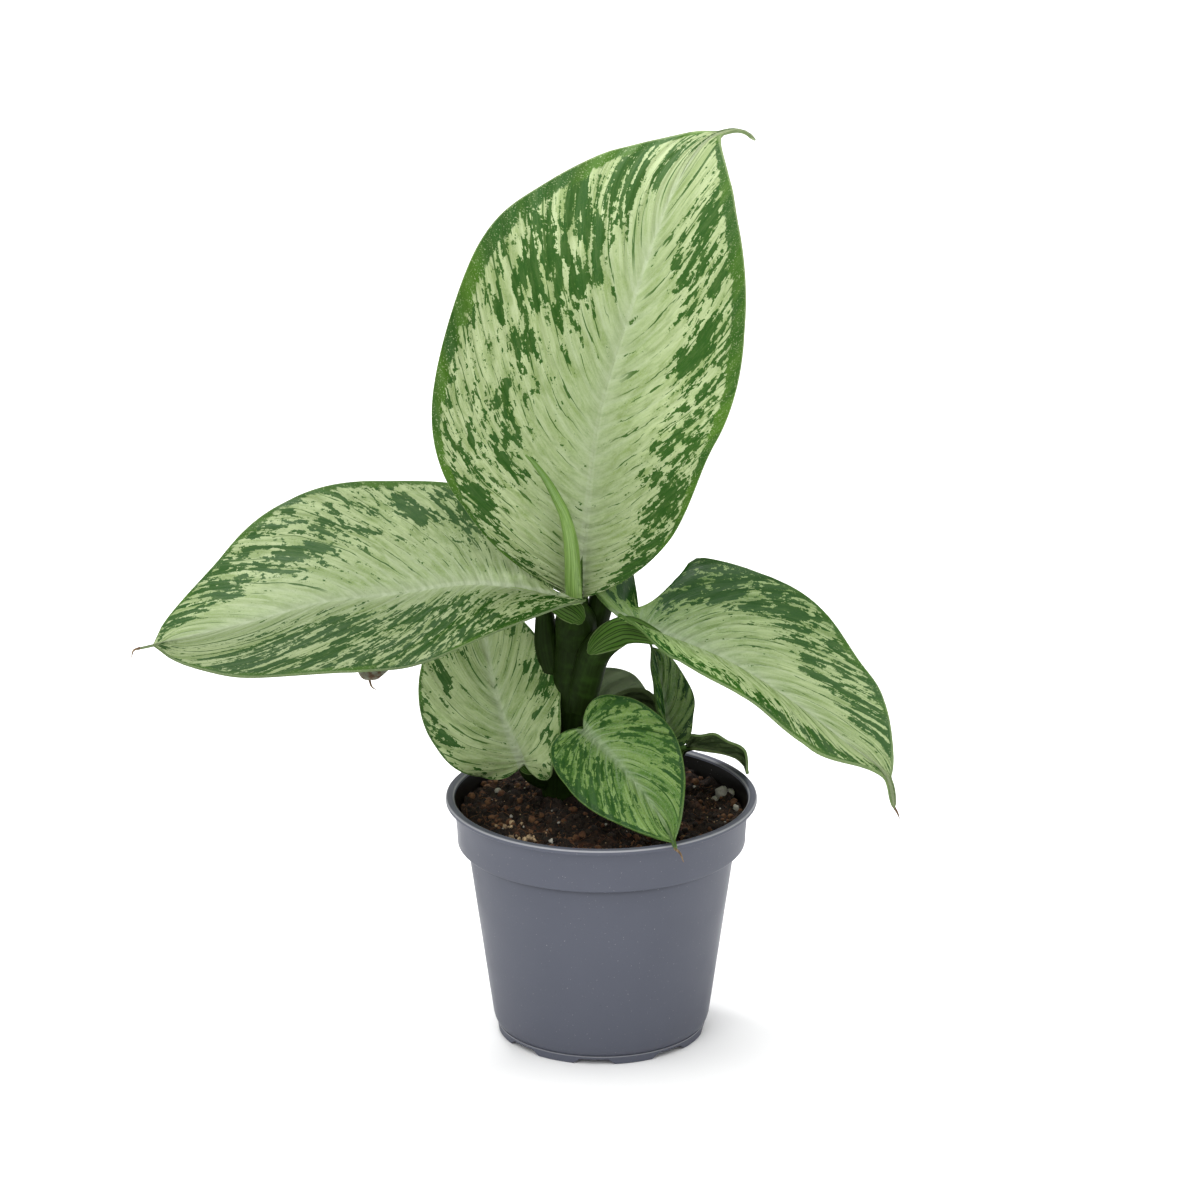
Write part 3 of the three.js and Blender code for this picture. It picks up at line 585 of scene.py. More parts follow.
class Shader:
    """One material and the nodes that colour it. seed shifts the patterns of its clouds."""

    def __init__(self, name, roughness, specular=0.5, seed=(0, 0, 0)):
        self.material = bpy.data.materials.new(name)
        self.material.use_nodes = True
        self.tree = self.material.node_tree
        self.surface = self.tree.nodes["Principled BSDF"]
        self.surface.inputs["Roughness"].default_value = roughness
        self.surface.inputs["Specular IOR Level"].default_value = specular
        self.seed = seed

    def put(self, socket, value):
        if isinstance(value, Wire):
            self.tree.links.new(value.socket, socket)
        else:
            socket.default_value = value

    def node(self, kind, output, inputs=(), **settings):
        """Adds a node, fills its inputs, which are named or numbered, and gives one output."""
        made = self.tree.nodes.new("ShaderNode" + kind)
        for key, value in settings.items():
            setattr(made, key, value)
        for key, value in dict(inputs).items():
            self.put(made.inputs[key], value)
        return Wire(self, made.outputs[output])

    def math(self, operation, *values):
        return self.node("Math", 0, enumerate(values), operation=operation)

    def step(self, value, low, high, to_low=0.0, to_high=1.0):
        """Goes smoothly from to_low to to_high while a value goes from low to high."""
        return self.node("MapRange", 0, enumerate((value, low, high, to_low, to_high)),
                         interpolation_type="SMOOTHSTEP")

    def band(self, value, low, high, soft):
        """1 where a value lies between two others, fading out over soft on either side."""
        return self.step(value, low - soft, low) * self.step(value, high, high + soft, 1.0, 0.0)

    def off_whole(self, value):
        """0.5 at whole numbers, and 0 halfway between them."""
        return abs(self.math("FRACT", value) - 0.5)

    def blend(self, share, a, b):
        return self.node("Mix", 2, {0: share, 6: a, 7: b}, data_type="RGBA")

    def layered(self, colour, *layers):
        """Covers a colour with others. Each layer is its colour and what its step takes."""
        for cover, *stepped in layers:
            colour = self.blend(self.step(*stepped), colour, cover)
        return colour

    def stretched(self, vector, scale, shift=(0, 0, 0)):
        return self.node("Mapping", 0, {"Vector": vector, "Scale": scale, "Location": shift})

    def cloud(self, vector, scale, detail=3.0, roughness=0.55, distortion=0.0):
        """Noise from 0 to 1. A pair of scales stretches it, and the seed shifts it."""
        if isinstance(scale, tuple):
            vector = self.stretched(vector, (*scale, 1), self.seed)
            scale = 1.0
        return self.node("TexNoise", "Fac", {"Vector": vector, "Scale": scale, "Detail": detail,
                                             "Roughness": roughness, "Distortion": distortion})

    def parts(self, vector):
        split = self.node("SeparateXYZ", 0, {0: vector}).socket.node
        return [Wire(self, output) for output in split.outputs]

    def whole(self, x, y, z=0.0):
        return self.node("CombineXYZ", 0, enumerate((x, y, z)))

    def attribute(self, name):
        return self.node("Attribute", "Fac", attribute_name=name)

    def leaf_place(self):
        return self.node("UVMap", 0, uv_map="leaf")

    def object_place(self):
        return self.node("TexCoord", "Object")

    def gloss(self, level, low, high, turned):
        """Reflects less, down to the level turned, where the surface turns from the eye."""
        facing = self.node("LayerWeight", "Facing", {"Blend": 0.5})
        self.put(self.surface.inputs["Specular IOR Level"],
                 self.step(facing, low, high, level, turned))

    def finish(self, colour, height=None, bump=0.2, distance=0.0005, roughness=None):
        self.put(self.surface.inputs["Base Color"], colour)
        if roughness is not None:
            self.put(self.surface.inputs["Roughness"], roughness)
        if height is not None:
            self.put(self.surface.inputs["Normal"],
                     self.node("Bump", 0, {"Strength": bump, "Distance": distance,
                                           "Height": height}))
        return self.material


# How each leaf is coloured, with pairs for its left and right half. start: share of the half at
# which the dark patches begin. amount: how dark it is beyond. clumps: across, along, half width
# and length, and weight of a denser or, below 0, a clearer place. band: share at which the green
# margin begins. sweep: how far the veins run towards the tip. spacing: of the veins, in mm.
# silver: share of the half about which silver turns to cream. seed: shifts the pattern. fine:
# makes it finer. soft: makes the patches' edges softer. plain: how far it fades to the dull
# green of an underside. tint: 0 for a grown leaf's colours, 1 for a young one's, at base and tip.
# shade: painted shade, how much darker the left and right half are painted for the light that falls
# on them.
LOOKS = {
    "leaf_tall": dict(
        start=(0.34, 0.42), amount=(0.46, 0.48), band=(0.91, 0.89), sweep=(0.12, 0.05),
        spacing=4.2, silver=0.42, seed=3.1, tint=(0, 0), shade=(0, 0.1),
        clumps=[(-0.5, 0.8, 0.3, 0.09, 0.32), (-0.7, 0.6, 0.2, 0.06, -0.2),
                (-0.4, 0.4, 0.22, 0.1, -0.3), (-0.72, 0.4, 0.09, 0.04, 0.6),
                (-0.42, 0.55, 0.14, 0.07, 0.25),
                (0.7, 0.25, 0.3, 0.07, 0.4), (0.6, 0.46, 0.2, 0.05, 0.3),
                (0.64, 0.7, 0.12, 0.025, 0.4), (0.4, 0.82, 0.07, 0.02, 0.5),
                (0.7, 0.83, 0.1, 0.02, 0.3), (0.42, 0.56, 0.1, 0.03, 0.35),
                (0.45, 0.36, 0.15, 0.05, 0.3), (0.4, 0.93, 0.5, 0.04, -0.3)]),
    "leaf_left": dict(
        start=(0.14, 0.42), amount=(0.58, 0.48), band=(0.955, 0.95), sweep=(0.25, 0.1),
        spacing=4.4, silver=0.42, seed=8.7, tint=(0.15, 0.15), fine=1.15, shade=(0.42, 0.26),
        clumps=[(0.48, 0.8, 0.2, 0.05, 0.32), (0.7, 0.55, 0.09, 0.03, 0.3),
                (0.6, 0.64, 0.2, 0.06, -0.3), (0.4, 0.5, 0.1, 0.06, 0.3),
                (0.57, 0.7, 0.07, 0.03, 0.3), (-0.5, 0.93, 0.5, 0.04, -0.3),
                (-0.4, 0.36, 0.3, 0.08, -0.3)]),
    "leaf_right": dict(
        start=(0.44, 0.6), amount=(0.62, 0.55), band=(0.94, 0.93), sweep=(0.18, 0.1),
        spacing=4.0, silver=0.25, seed=14.2, tint=(1.0, 0.25), fine=1.3, shade=(0.16, 0.16),
        clumps=[(-0.5, 0.06, 0.7, 0.05, -0.7), (-0.75, 0.1, 0.4, 0.05, -0.6),
                (-0.55, 0.46, 0.12, 0.04, 0.3),
                (-0.35, 0.36, 0.25, 0.07, 0.4), (-0.35, 0.18, 0.3, 0.08, 0.2),
                (-0.75, 0.2, 0.15, 0.05, -0.3), (0.4, 0.36, 0.3, 0.06, 0.3),
                (-0.8, 0.64, 0.2, 0.06, -0.2), (-0.6, 0.9, 0.3, 0.05, -0.3)]),
    "leaf_low_left": dict(
        start=(0.66, 0.6), amount=(0.42, 0.42), band=(0.96, 0.96), sweep=(0.2, 0.14),
        spacing=3.4, silver=0.25, seed=21.5, tint=(0.25, 0.25), fine=1.15,
        clumps=[(-0.7, 0.66, 0.1, 0.05, 0.35), (-0.74, 0.47, 0.09, 0.04, 0.5),
                (0.66, 0.7, 0.12, 0.03, 0.4), (0.72, 0.6, 0.13, 0.05, 0.2),
                (0.52, 0.5, 0.06, 0.03, 0.4), (0.55, 0.36, 0.15, 0.05, 0.4),
                (-0.5, 0.36, 0.3, 0.07, -0.3), (-0.5, 0.78, 0.25, 0.06, 0.3)]),
    "leaf_front": dict(
        start=(0.16, 0.12), amount=(0.4, 0.42), band=(0.93, 0.9), sweep=(0.2, 0.2),
        spacing=2.7, silver=0.12, seed=27.9, tint=(1, 1), fine=1.1, soft=5.0,
        clumps=[(0.85, 0.55, 0.15, 0.2, 0.3), (-0.8, 0.65, 0.2, 0.15, 0.2),
                (0.4, 0.4, 0.3, 0.12, 0.2), (-0.8, 0.8, 0.4, 0.06, -0.3),
                (0.8, 0.8, 0.4, 0.06, -0.3)]),
    "leaf_inner_right": dict(
        start=(0.1, 0.35), amount=(0.6, 0.4), band=(0.9, 0.96), sweep=(0.15, 0.15),
        spacing=2.4, silver=0.1, seed=33.3, tint=(1, 1), shade=(0.35, 0.35)),
    "leaf_low_right": dict(
        start=(0.2, 0.2), amount=(0.6, 0.6), band=(0.9, 0.9), sweep=(0.15, 0.15),
        spacing=2.2, silver=0.1, seed=39.6, tint=(0.8, 0.8), plain=0.75),
    "leaf_back": dict(
        start=(0.3, 0.3), amount=(0.2, 0.2), band=(0.9, 0.9), sweep=(0.15, 0.15),
        spacing=2.4, silver=0.2, seed=45.8, tint=(0.5, 0.5), plain=0.9, shade=(0.4, 0.4)),
    "leaf_back_left": dict(
        start=(0.3, 0.3), amount=(0.5, 0.5), band=(0.9, 0.9), sweep=(0.15, 0.15),
        spacing=3.0, silver=0.3, seed=52.4, tint=(0.3, 0.3)),
}


def palette(colours, tint):
    """The colours of a blade, from a grown leaf's at tint 0 to a young one's at tint 1."""
    keys = ("cream", "silver", "cloud", "dark", "fringe", "band")
    shades = {key: mixed(colours[key], colours["young_" + key], tint) for key in keys}
    shades["light"] = mixed(shades["silver"], WHITE, 0.16)
    shades["line"] = mixed(shades["fringe"], shades["dark"], 0.7)
    shades["mottle"] = mixed(shades["cloud"], shades["dark"], 0.5)
    shades["rim"] = mixed(shades["cream"], shades["band"], 0.2)
    shades["under"] = mixed(colours["underside"], shades["band"], 0.2)
    return shades


class BladeShader(Shader):
    """A blade, alike on both faces: cream and silver between the veins, and dark patches that
    the veins bound. Each step colours what the steps before it left."""

    def __init__(self, name, look, colours):
        super().__init__(name, 0.45, seed=(look["seed"], look["seed"] * 0.37, 0))
        self.gloss(0.14, 0.3, 0.7, 0.0)
        self.look = look
        self.young = look["tint"][1]
        self.across = self.attribute("across")
        self.along = self.attribute("along")
        self.reach = abs(self.across)
        self.shades = self.aged(*(palette(colours, tint) for tint in look["tint"]))
        self.place = self.leaf_place()
        self.solid = self.object_place()
        self.x, self.y, _ = self.parts(self.place)

        # veins are counted along the midrib, and wander a little
        wander = self.cloud(self.place, (7, 7), 2.0)
        self.count = self.y * (UV_UNIT / look["spacing"]) + wander * 0.9
        self.from_vein = self.off_whole(self.count)

        # the pattern lies between the veins' own direction and true distances along the leaf
        self.body = self.whole(self.x, self.y * 0.65 + self.attribute("spot") * 0.35)
        self.feather = self.cloud(self.place, (11, 150), 4.0, 0.6, 0.3)
        self.grain = self.cloud(self.solid, 2700.0, 3.0, 0.7)
        self.ragged = self.cloud(self.solid, 900.0, 4.0, 0.6)
        self.flecks = self.cloud(self.solid, 3300.0, 1.0, 0.5)
        self.specks = self.step(self.flecks, 0.63, 0.68)

        # broad and small clouds and vein-bound strips make up the patches' pattern
        fine = look.get("fine", 1.0)
        strip = self.math("FLOOR", self.count * 2.0)
        in_strip = self.whole(self.x * (26.0 * fine), strip * 3.7, look["seed"])
        strips = self.cloud(in_strip, 1.0, 2.0, 0.5)
        self.broad = self.cloud(self.body, (13 * fine, 28 * fine), 3.0, 0.55, 0.3)
        islands = self.cloud(self.body, (42 * fine, 74 * fine), 3.0, 0.6, 0.4)
        self.pattern = (self.broad * 0.24 + strips * 0.19 + islands * 0.39
                        + self.ragged * 0.18 + (self.flecks - 0.5) * 0.05)

    def aged(self, at_base, at_tip):
        """The leaf's colours, which may turn from the base to the tip."""
        if at_base == at_tip:
            return at_base
        change = self.step(self.along, 0.2, 0.75)
        return {key: self.blend(change, at_base[key], at_tip[key]) for key in at_base}

    def pale_middle(self):
        """Silvery near the midrib, with soft green clouds and feathery side veins."""
        light, cloud = self.shades["light"], self.shades["cloud"]
        silver = self.look["silver"]
        clouds = self.cloud(self.body, (20, 44), 4.0, 0.6, 0.5)
        pale = self.layered(
            self.shades["silver"],
            (self.shades["cream"], self.reach + self.broad * 0.3, silver - 0.2, silver + 0.35),
            (cloud, clouds, 0.44, 0.66, 0.0, 0.85),
            (cloud, self.feather, 0.4, 0.7, 0.0, 0.45),
            (light, self.feather, 0.3, 0.46, 0.12, 0.0))
        side_vein = (self.step(self.from_vein, 0.02, 0.16, 0.3, 0.0)
                     * self.step(self.reach, 0.15, 0.55, 1.0, 0.0))
        pale = self.blend(side_vein, pale, light)
        glow = 0.42 - 0.25 * self.young
        return self.layered(pale, (light, self.reach, 0.0, 0.16, glow, 0.0),
                            (light, self.grain, 0.4, 0.7, 0.0, 0.25))

    def lines(self, colour):
        """Thin dark lines along the veins, broken here and there."""
        drift = self.cloud(self.place, (9, 30))
        broken = self.cloud(self.place, (15, 52), 4.0, 0.65)
        width = self.step(broken, 0.42, 0.62, -0.012, 0.075)
        off_line = self.off_whole(self.count * 1.5 + drift * 1.6) - width
        line = self.step(off_line, -0.01, 0.01, 1.0, 0.0) * self.step(self.reach, 0.04, 0.2)
        return self.blend(line * 0.95, colour, self.shades["line"])

    def patches(self, colour):
        """Dark patches, more of them where the leaf is darker, with small dots round them."""
        soft = self.look.get("soft", 1.0)
        inside = self.pattern - (0.6 - self.attribute("darkness") * 0.2)
        dots = self.step(self.flecks, 0.62, 0.66) * self.step(inside, -0.07, -0.01)
        patch = self.math("MAXIMUM", self.step(inside, -0.003 * soft, 0.003 * soft), dots * 0.4)
        green = self.layered(self.shades["fringe"],
                             (self.shades["dark"], inside, 0.002, 0.02 * soft))
        green = self.blend(self.specks * 0.35, green, self.shades["band"])
        return self.blend(patch, colour, green)

    def margin(self, colour):
        """The green margin, with pale flecks."""
        left, right = self.look["band"]
        start = self.math("GREATER_THAN", self.across, 0.0) * (right - left) + left
        edge = self.reach + (self.pattern - 0.5) * 0.3
        margin = self.step(edge - start, -0.008, 0.008)
        slow = self.cloud(self.place, (6, 10), 2.0)
        green = self.layered(self.shades["dark"], (self.shades["band"], slow, 0.4, 0.62))
        colour = self.blend(margin, colour, green)
        return self.blend(self.specks * (margin * 0.5), colour, self.shades["cream"])

    def midrib(self, colour):
        width = self.step(self.along, 0.0, 1.0, 0.017, 0.004)
        rib = self.step(abs(self.x) / width, 0.55, 1.0, 1.0, 0.0)
        strength = self.step(self.along, 0.2, 0.8, 0.75 - 0.4 * self.young, 0.3 - 0.15 * self.young)
        return self.blend(rib * strength, colour, self.shades["light"])

    def weathered_with_painted_shade(self, colour):
        """An underside's green, mottles, a pale rim, and painted shade that darkens each half."""
        if "plain" in self.look:
            colour = self.blend(self.look["plain"], colour, self.shades["under"])
        mottles = self.cloud(self.body, (42, 90), 5.0, 0.7)
        half = abs(self.x)
        from_rim = half / self.reach - half
        # painted shade: each half is blended towards black by its own share
        left_painted_shade, right_painted_shade = self.look.get("shade", (0.0, 0.0))
        return self.layered(colour,
                            (self.shades["mottle"], mottles, 0.3, 0.6, 0.3, 0.0),
                            (self.shades["rim"], from_rim, 0.0006, 0.0024, 0.45, 0.0),
                            (BLACK, self.across, -0.12, 0.12, left_painted_shade, right_painted_shade))

    def painted(self):
        colour = self.patches(self.lines(self.pale_middle()))
        colour = self.weathered_with_painted_shade(self.midrib(self.margin(colour)))
        furrow = self.step(self.from_vein, 0.0, 0.5)
        height = furrow * 0.8 + self.feather * 0.35 + self.grain * 0.12
        return self.finish(colour, height, 0.8, 0.0005, self.step(self.ragged, 0.2, 0.8, 0.36, 0.5))


def stalk_material(name, colours, seed):
    """Green stalk with fine lengthwise streaks and a pale channel, which turns into the
    paler midrib."""
    s = Shader(name, 0.55, 0.05, (seed, seed, 0))
    place = s.leaf_place()
    green, tip, rib = colours["stem"], colours["stalk_tip"], colours["rib"]
    fine = s.cloud(place, (160, 8), 4.0, 0.6)
    slow = s.cloud(place, (20, 30), 3.0, 0.5)
    skin = s.layered(green, (colours["streak"], fine, 0.35, 0.7, 0.0, 0.6),
                     (tip, slow, 0.45, 0.8, 0.0, 0.3))

    # inside the channel, below 1, lines run along it, and its edge is pale
    channel = s.attribute("channel") + slow * 0.1
    inside = s.layered(tip, (mixed(tip, rib, 0.5), fine, 0.35, 0.7, 0.0, 0.5),
                       (green, s.off_whole(channel * 4.0), 0.05, 0.2, 0.85, 0.0))
    skin = s.layered(skin, (inside, channel, 1.0, 1.06, 0.9, 0.0),
                     (rib, abs(channel - 1.06), 0.03, 0.07, 0.6, 0.0))
    return s.finish(s.blend(s.attribute("across"), skin, rib), fine, 0.2, 0.0003)


def spear_material(colours):
    """Fresh light green with fine lines, darker towards the tip."""
    s = Shader("young_spear", 0.4)
    place = s.leaf_place()
    band = colours["band"]
    fine = s.cloud(place, (220, 7), 4.0, 0.6)
    slow = s.cloud(place, (40, 18))
    skin = s.layered(colours["spear"], (colours["spear_line"], fine, 0.35, 0.7),
                     (band, slow, 0.5, 0.75, 0.0, 0.6),
                     (band, s.attribute("along"), 0.4, 0.9, 0.0, 0.6))
    return s.finish(skin, fine, 0.2, 0.0003)


def pot_material(name, base, gloss, top):
    """Satin injection-moulded plastic: faint speckle, painted highlights at the lip and foot,
    painted shade below the collar.
    """
    s = Shader(name, 0.4)
    s.gloss(gloss, 0.3, 0.8, 0.2 * gloss)
    place = s.object_place()
    height = s.parts(place)[2] * (1 / MM)
    speckle = s.cloud(place, 2600.0, 2.0, 0.6)
    slow = s.cloud(place, 60.0)
    shade = s.layered(base, (mixed(base, BLACK, 0.12), slow, 0.3, 0.7, 0.0, 0.35),
                      (mixed(base, WHITE, 0.35), speckle, 0.7, 0.76, 0.0, 0.4),
                      (mixed(base, BLACK, 0.35), speckle, 0.25, 0.3, 0.5, 0.0))
    collar = top - COLLAR
    # painted shade: a dark line just below the collar, where its ledge shades the body
    painted_shade = (s.step(height, collar - 1.6, collar - 0.1)
             * s.step(height, collar - 0.05, collar + 0.05, 0.6, 0.0))
    shade = s.blend(painted_shade, shade, mixed(base, BLACK, 0.75))
    # painted highlight: thin light lines along the lip's top edge and along the foot's edge
    painted_highlight = (s.band(height, top - 0.3, top - 0.1, 0.08) * 0.68
              + s.band(height, 1.55, 1.65, 0.06) * 0.5)
    shade = s.blend(painted_highlight, shade, mixed(base, WHITE, 0.3))
    return s.finish(shade, s.cloud(place, 1400.0), 0.05, 0.0002,
                    s.step(slow, 0.3, 0.7, 0.28, 0.4))


def soil_material(colours):
    """Damp dark peat, with redder fibrous patches."""
    s = Shader("peat", 0.9, 0.25)
    place = s.object_place()
    crumbs = s.cloud(place, 900.0, 6.0, 0.7, 0.5)
    patches = s.cloud(place, 160.0, 4.0, 0.6, 0.4)
    fibres = s.cloud(s.stretched(place, (1, 2.4, 1)), 1400.0, 3.0, 0.65, 1.5)
    # the darkest peat lies where the crumbs' bump is low, in its hollows
    colour = s.layered(colours["peat_dark"], (colours["peat"], crumbs, 0.35, 0.65),
                       (colours["peat_red"], patches, 0.5, 0.68, 0.0, 0.7),
                       (colours["fibre"], fibres, 0.64, 0.72, 0.0, 0.7))
    return s.finish(colour, crumbs, 0.9, 0.0006)


def grain_material(name, colour, other):
    """Two colours in small rough mottles."""
    s = Shader(name, 0.85, 0.3)
    mottle = s.cloud(s.object_place(), 900.0, 4.0, 0.6)
    return s.finish(s.layered(colour, (other, mottle, 0.35, 0.65)), mottle, 0.6, 0.0004)


# ---------------------------------------------------------------- settings
def paints(settings):
    """Every colour of a group of settings, as a shader takes it."""
    values = {key: getattr(settings, key) for key in type(settings).__annotations__}
    return {key: paint(value) for key, value in values.items()
            if not isinstance(value, (int, float))}


def length(name, description, default):
    return bpy.props.FloatProperty(name=name, description=description, default=default, min=0,
                                   unit="LENGTH", precision=4)


def colour(name, description, default):
    return bpy.props.IntVectorProperty(name=name, description=description + ", sRGB 0 to 255",
                                       default=default, min=0, max=255, size=3)


def young(name, default):
    return colour("Young " + name.lower(), f"As {name}, on a young leaf", default)


def power(name, description, default):
    return bpy.props.FloatProperty(name=name, description=description, default=default, min=0,
                                   unit="POWER")


POT_LOW, POT_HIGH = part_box("pot")


class PotSettings(bpy.types.PropertyGroup):
    height: length("Height", "From the surface to the lip's top", POT_HIGH[2] - POT_LOW[2])
    rim: length("Rim radius", "Outer edge of the lip", (POT_HIGH[0] - POT_LOW[0]) / 2)
    wall: length("Wall", "Thickness of the plastic", 0.8 * MM)
    plastic: colour("Plastic", "Moulded grey plastic", (81, 84, 95))
    # the inside: a peat stain, painted darker still for the shade inside the pot
    soiled: colour("Soiled plastic", "Its inside, dark with damp peat", (17, 15, 12))


class SoilSettings(bpy.types.PropertyGroup):
    level: length("Level", "Height of the soil's surface", 44.4 * MM)
    crumbs: bpy.props.IntProperty(name="Crumbs", description="Loose crumbs of peat on top",
                                  default=3200, min=0)
    fibres: bpy.props.IntProperty(name="Fibres", description="Loose strands of peat on top",
                                  default=170, min=0)
    peat: colour("Peat", "Main colour of the peat", (46, 34, 25))
    # the darkest peat, laid where the soil's bump is low
    peat_dark: colour("Dark peat", "Its damp hollows", (9, 7, 4))
    peat_red: colour("Red peat", "Its redder patches", (75, 45, 28))
    fibre: colour("Fibre", "Dry strands", (105, 76, 49))
    chip: colour("Chip", "Chips of bark and dry root", (184, 158, 122))
    perlite: colour("Perlite", "Pale grains", (170, 167, 156))


class PlantSettings(bpy.types.PropertyGroup):
    thickness: length("Blade", "Thickness of a leaf's blade", 0.5 * MM)
    cream: colour("Cream", "Pale green between the veins", (176, 190, 142))
    silver: colour("Silver", "Pale grey-green along the midrib", (155, 171, 125))
    cloud: colour("Cloud", "Soft green in the pale middle", (129, 150, 89))
    dark: colour("Dark", "Dark patches", (41, 80, 24))
    fringe: colour("Fringe", "Edge of the dark patches, and vein lines", (63, 97, 35))
    band: colour("Band", "Green of the margin", (67, 105, 28))
    young_cream: young("Cream", (118, 147, 77))
    young_silver: young("Silver", (123, 145, 99))
    young_cloud: young("Cloud", (67, 107, 34))
    young_dark: young("Dark", (35, 71, 28))
    young_fringe: young("Fringe", (48, 84, 29))
    young_band: young("Band", (39, 70, 32))
    underside: colour("Underside", "Dull green that plainer leaves fade to", (82, 92, 66))
    # stem and stalks: their own dark green, painted darker still for the shade that falls under the
    # leaves
    stem: colour("Stem", "Stem and stalks", (19, 31, 5))
    streak: colour("Streak", "Fine streaks on stem and stalks", (31, 48, 15))
    stalk_tip: colour("Stalk tip", "Paler patches on stalks", (54, 86, 26))
    dry: colour("Dry tip", "Dried threads at the tips", (127, 107, 80))
    dry_dark: colour("Dark dry tip", "Their darker spots", (80, 60, 43))
    papery: colour("Papery", "A dried curl of a leaf", (112, 114, 101))
    rib: colour("Midrib", "The midrib under a leaf", (108, 126, 80))
    spear: colour("Spear", "The rolled youngest leaf", (137, 169, 90))
    spear_line: colour("Spear line", "Its fine lines", (78, 111, 39))


class StageSettings(bpy.types.PropertyGroup):
    floor: colour("Floor", "Pale floor", (250, 250, 250))
    surround: bpy.props.FloatProperty(name="Surround", description="White light from all round",
                                      default=0.95, min=0)
    top: power("Top light", "Large soft light from above", 25.5)
    key: power("Key light", "Soft light from the front, upper left", 5.2)
    glint: power("Glint", "Small light from behind and above", 4.5)


# ---------------------------------------------------------------- the pot
def pot_profile(pot):
    """Radius and height round the pot's wall, from the middle of its underside to its inside."""
    high, rim, wall = pot.height / MM, pot.rim / MM, pot.wall / MM
    collar = high - COLLAR
    underside_and_foot = [
        (AXIS, 1.6), (18.3, 1.6), (18.4, 1.45), (18.4, 0.12), (18.5, 0), (19.9, 0), (20.05, 0.12),
        (20.2, 1.5), (20.15, 1.64), (19.95, 1.72), (19.98, 1.84), (20.3, 2.05), (20.6, 2.5),
        (20.8, 3), (20.98, 3.7)]
    outside = [
        (21.6, 8), (25.72, collar - 1), (25.78, collar - 0.35), (25.72, collar + 0.05),
        (27.45, collar + 0.1), (27.62, collar + 0.16), (27.74, collar + 0.32),
        (27.8, collar + 0.6), (27.86, collar + 2.6), (28.35, high - 1.6), (28.5, high - 1.15)]
    lip = [
        (28.9, high - 1), (rim - 0.15, high - 1), (rim, high - 0.85), (rim, high - 0.4),
        (rim - 0.06, high - 0.22), (rim - 0.2, high - 0.07), (rim - 0.4, high), (28.85, high),
        (28.6, high - 0.06), (28.4, high - 0.25), (28.25, high - 0.7)]
    inside = [
        (28.35 - wall, high - 2), (27.75 - wall, collar + 1.2), (25.9 - wall, collar - 1),
        (20.9 - wall, 4.4), (20.2 - wall, 3.1), (19.3 - wall, 2.65), (AXIS, 2.6)]
    return np.array(underside_and_foot + outside + lip + inside)


def foot_cutter():
    """Blocks for the gaps in the foot ring and rods for the drain holes, in one piece."""
    cutters = []
    for k in range(FOOT_GAPS):
        turn = math.radians(360 / FOOT_GAPS * k - 4)
        spot = placed([FOOT_RADIUS * math.cos(turn), FOOT_RADIUS * math.sin(turn), 0])
        bpy.ops.mesh.primitive_cube_add(size=1, location=spot, rotation=(0, 0, turn))
        block = bpy.context.object
        block.scale = (4 * MM, 5.4 * MM, 2.2 * MM)
        for corner in block.data.vertices:
            if corner.co.z < 0:
                corner.co.y *= 2.1
        cutters.append(block)
    for k in range(DRAIN_HOLES):
        turn = math.radians(45 + 360 / DRAIN_HOLES * k)
        spot = placed([DRAIN_RADIUS * math.cos(turn), DRAIN_RADIUS * math.sin(turn), 2.1])
        bpy.ops.mesh.primitive_cylinder_add(vertices=40, radius=2.4 * MM, depth=4 * MM,
                                            location=spot)
        cutters.append(bpy.context.object)
    select_only(*cutters)
    bpy.ops.object.transform_apply(location=True, rotation=True, scale=True)
    bpy.ops.object.join()
    return bpy.context.object


class POTPLANT_OT_pot(bpy.types.Operator):
    """Turn the pot, cut its foot gaps and drain holes"""
    bl_idname = "potplant.pot"
    bl_label = "Pot"

    def execute(self, context):
        pot = context.scene.potplant_pot
        profile = pot_profile(pot)
        rows = len(profile) - 1
        piece, a, share = add_grid("nursery_pot", 192, rows)
        radius, z = (np.interp(share * rows, range(rows + 1), values) for values in profile.T)
        x, y = radius * np.cos(a * np.pi), radius * np.sin(a * np.pi)
        move_to(piece.data, placed(np.stack([x, y, z], -1)))
        merge_doubles(piece, 1e-6)
        close_ends(piece, to_points=True)
        cutter = foot_cutter()
        apply_modifier(piece, "BOOLEAN", operation="DIFFERENCE", solver="EXACT", object=cutter)
        bpy.data.objects.remove(cutter)
        smooth_faces(piece, 40)
        top = pot.height / MM
        keep(piece, "pot", "pot_plastic",
             pot_material("pot_plastic", paint(pot.plastic), 0.2, top),
             pot_material("soiled_plastic", paint(pot.soiled), 0.1, top))
        # inward faces between the floor and the lip take the dark plastic: a peat stain with
        # painted shade
        axis = Vector(placed([0, 0, 0]))
        for face in piece.data.polygons:
            out = face.center - axis
            inward = face.normal.x * out.x + face.normal.y * out.y < 0
            above_floor = face.center.z > 2.7 * MM
            below_lip = face.center.z < pot.height - 0.6 * MM
            face.material_index = int(inward and above_floor and below_lip)
        return {"FINISHED"}


# ---------------------------------------------------------------- the soil
def soil_top(x, y, level):
    """Height of the soil in mm: heaped round the stem, rough, with low crumbs."""
    high = level + 1.4 * np.exp(-((x + 8) ** 2 + (y - 8) ** 2) / 120)
    high += 0.5 * np.sin(x / 5 + 1) * np.cos(y / 6)
    rough = np.array([noise.fractal(Vector((a / 2.6, b / 2.6, 3.0)), 0.9, 2.1, 5)
                      for a, b in zip(x, y)])
    return high + 1.25 * rough


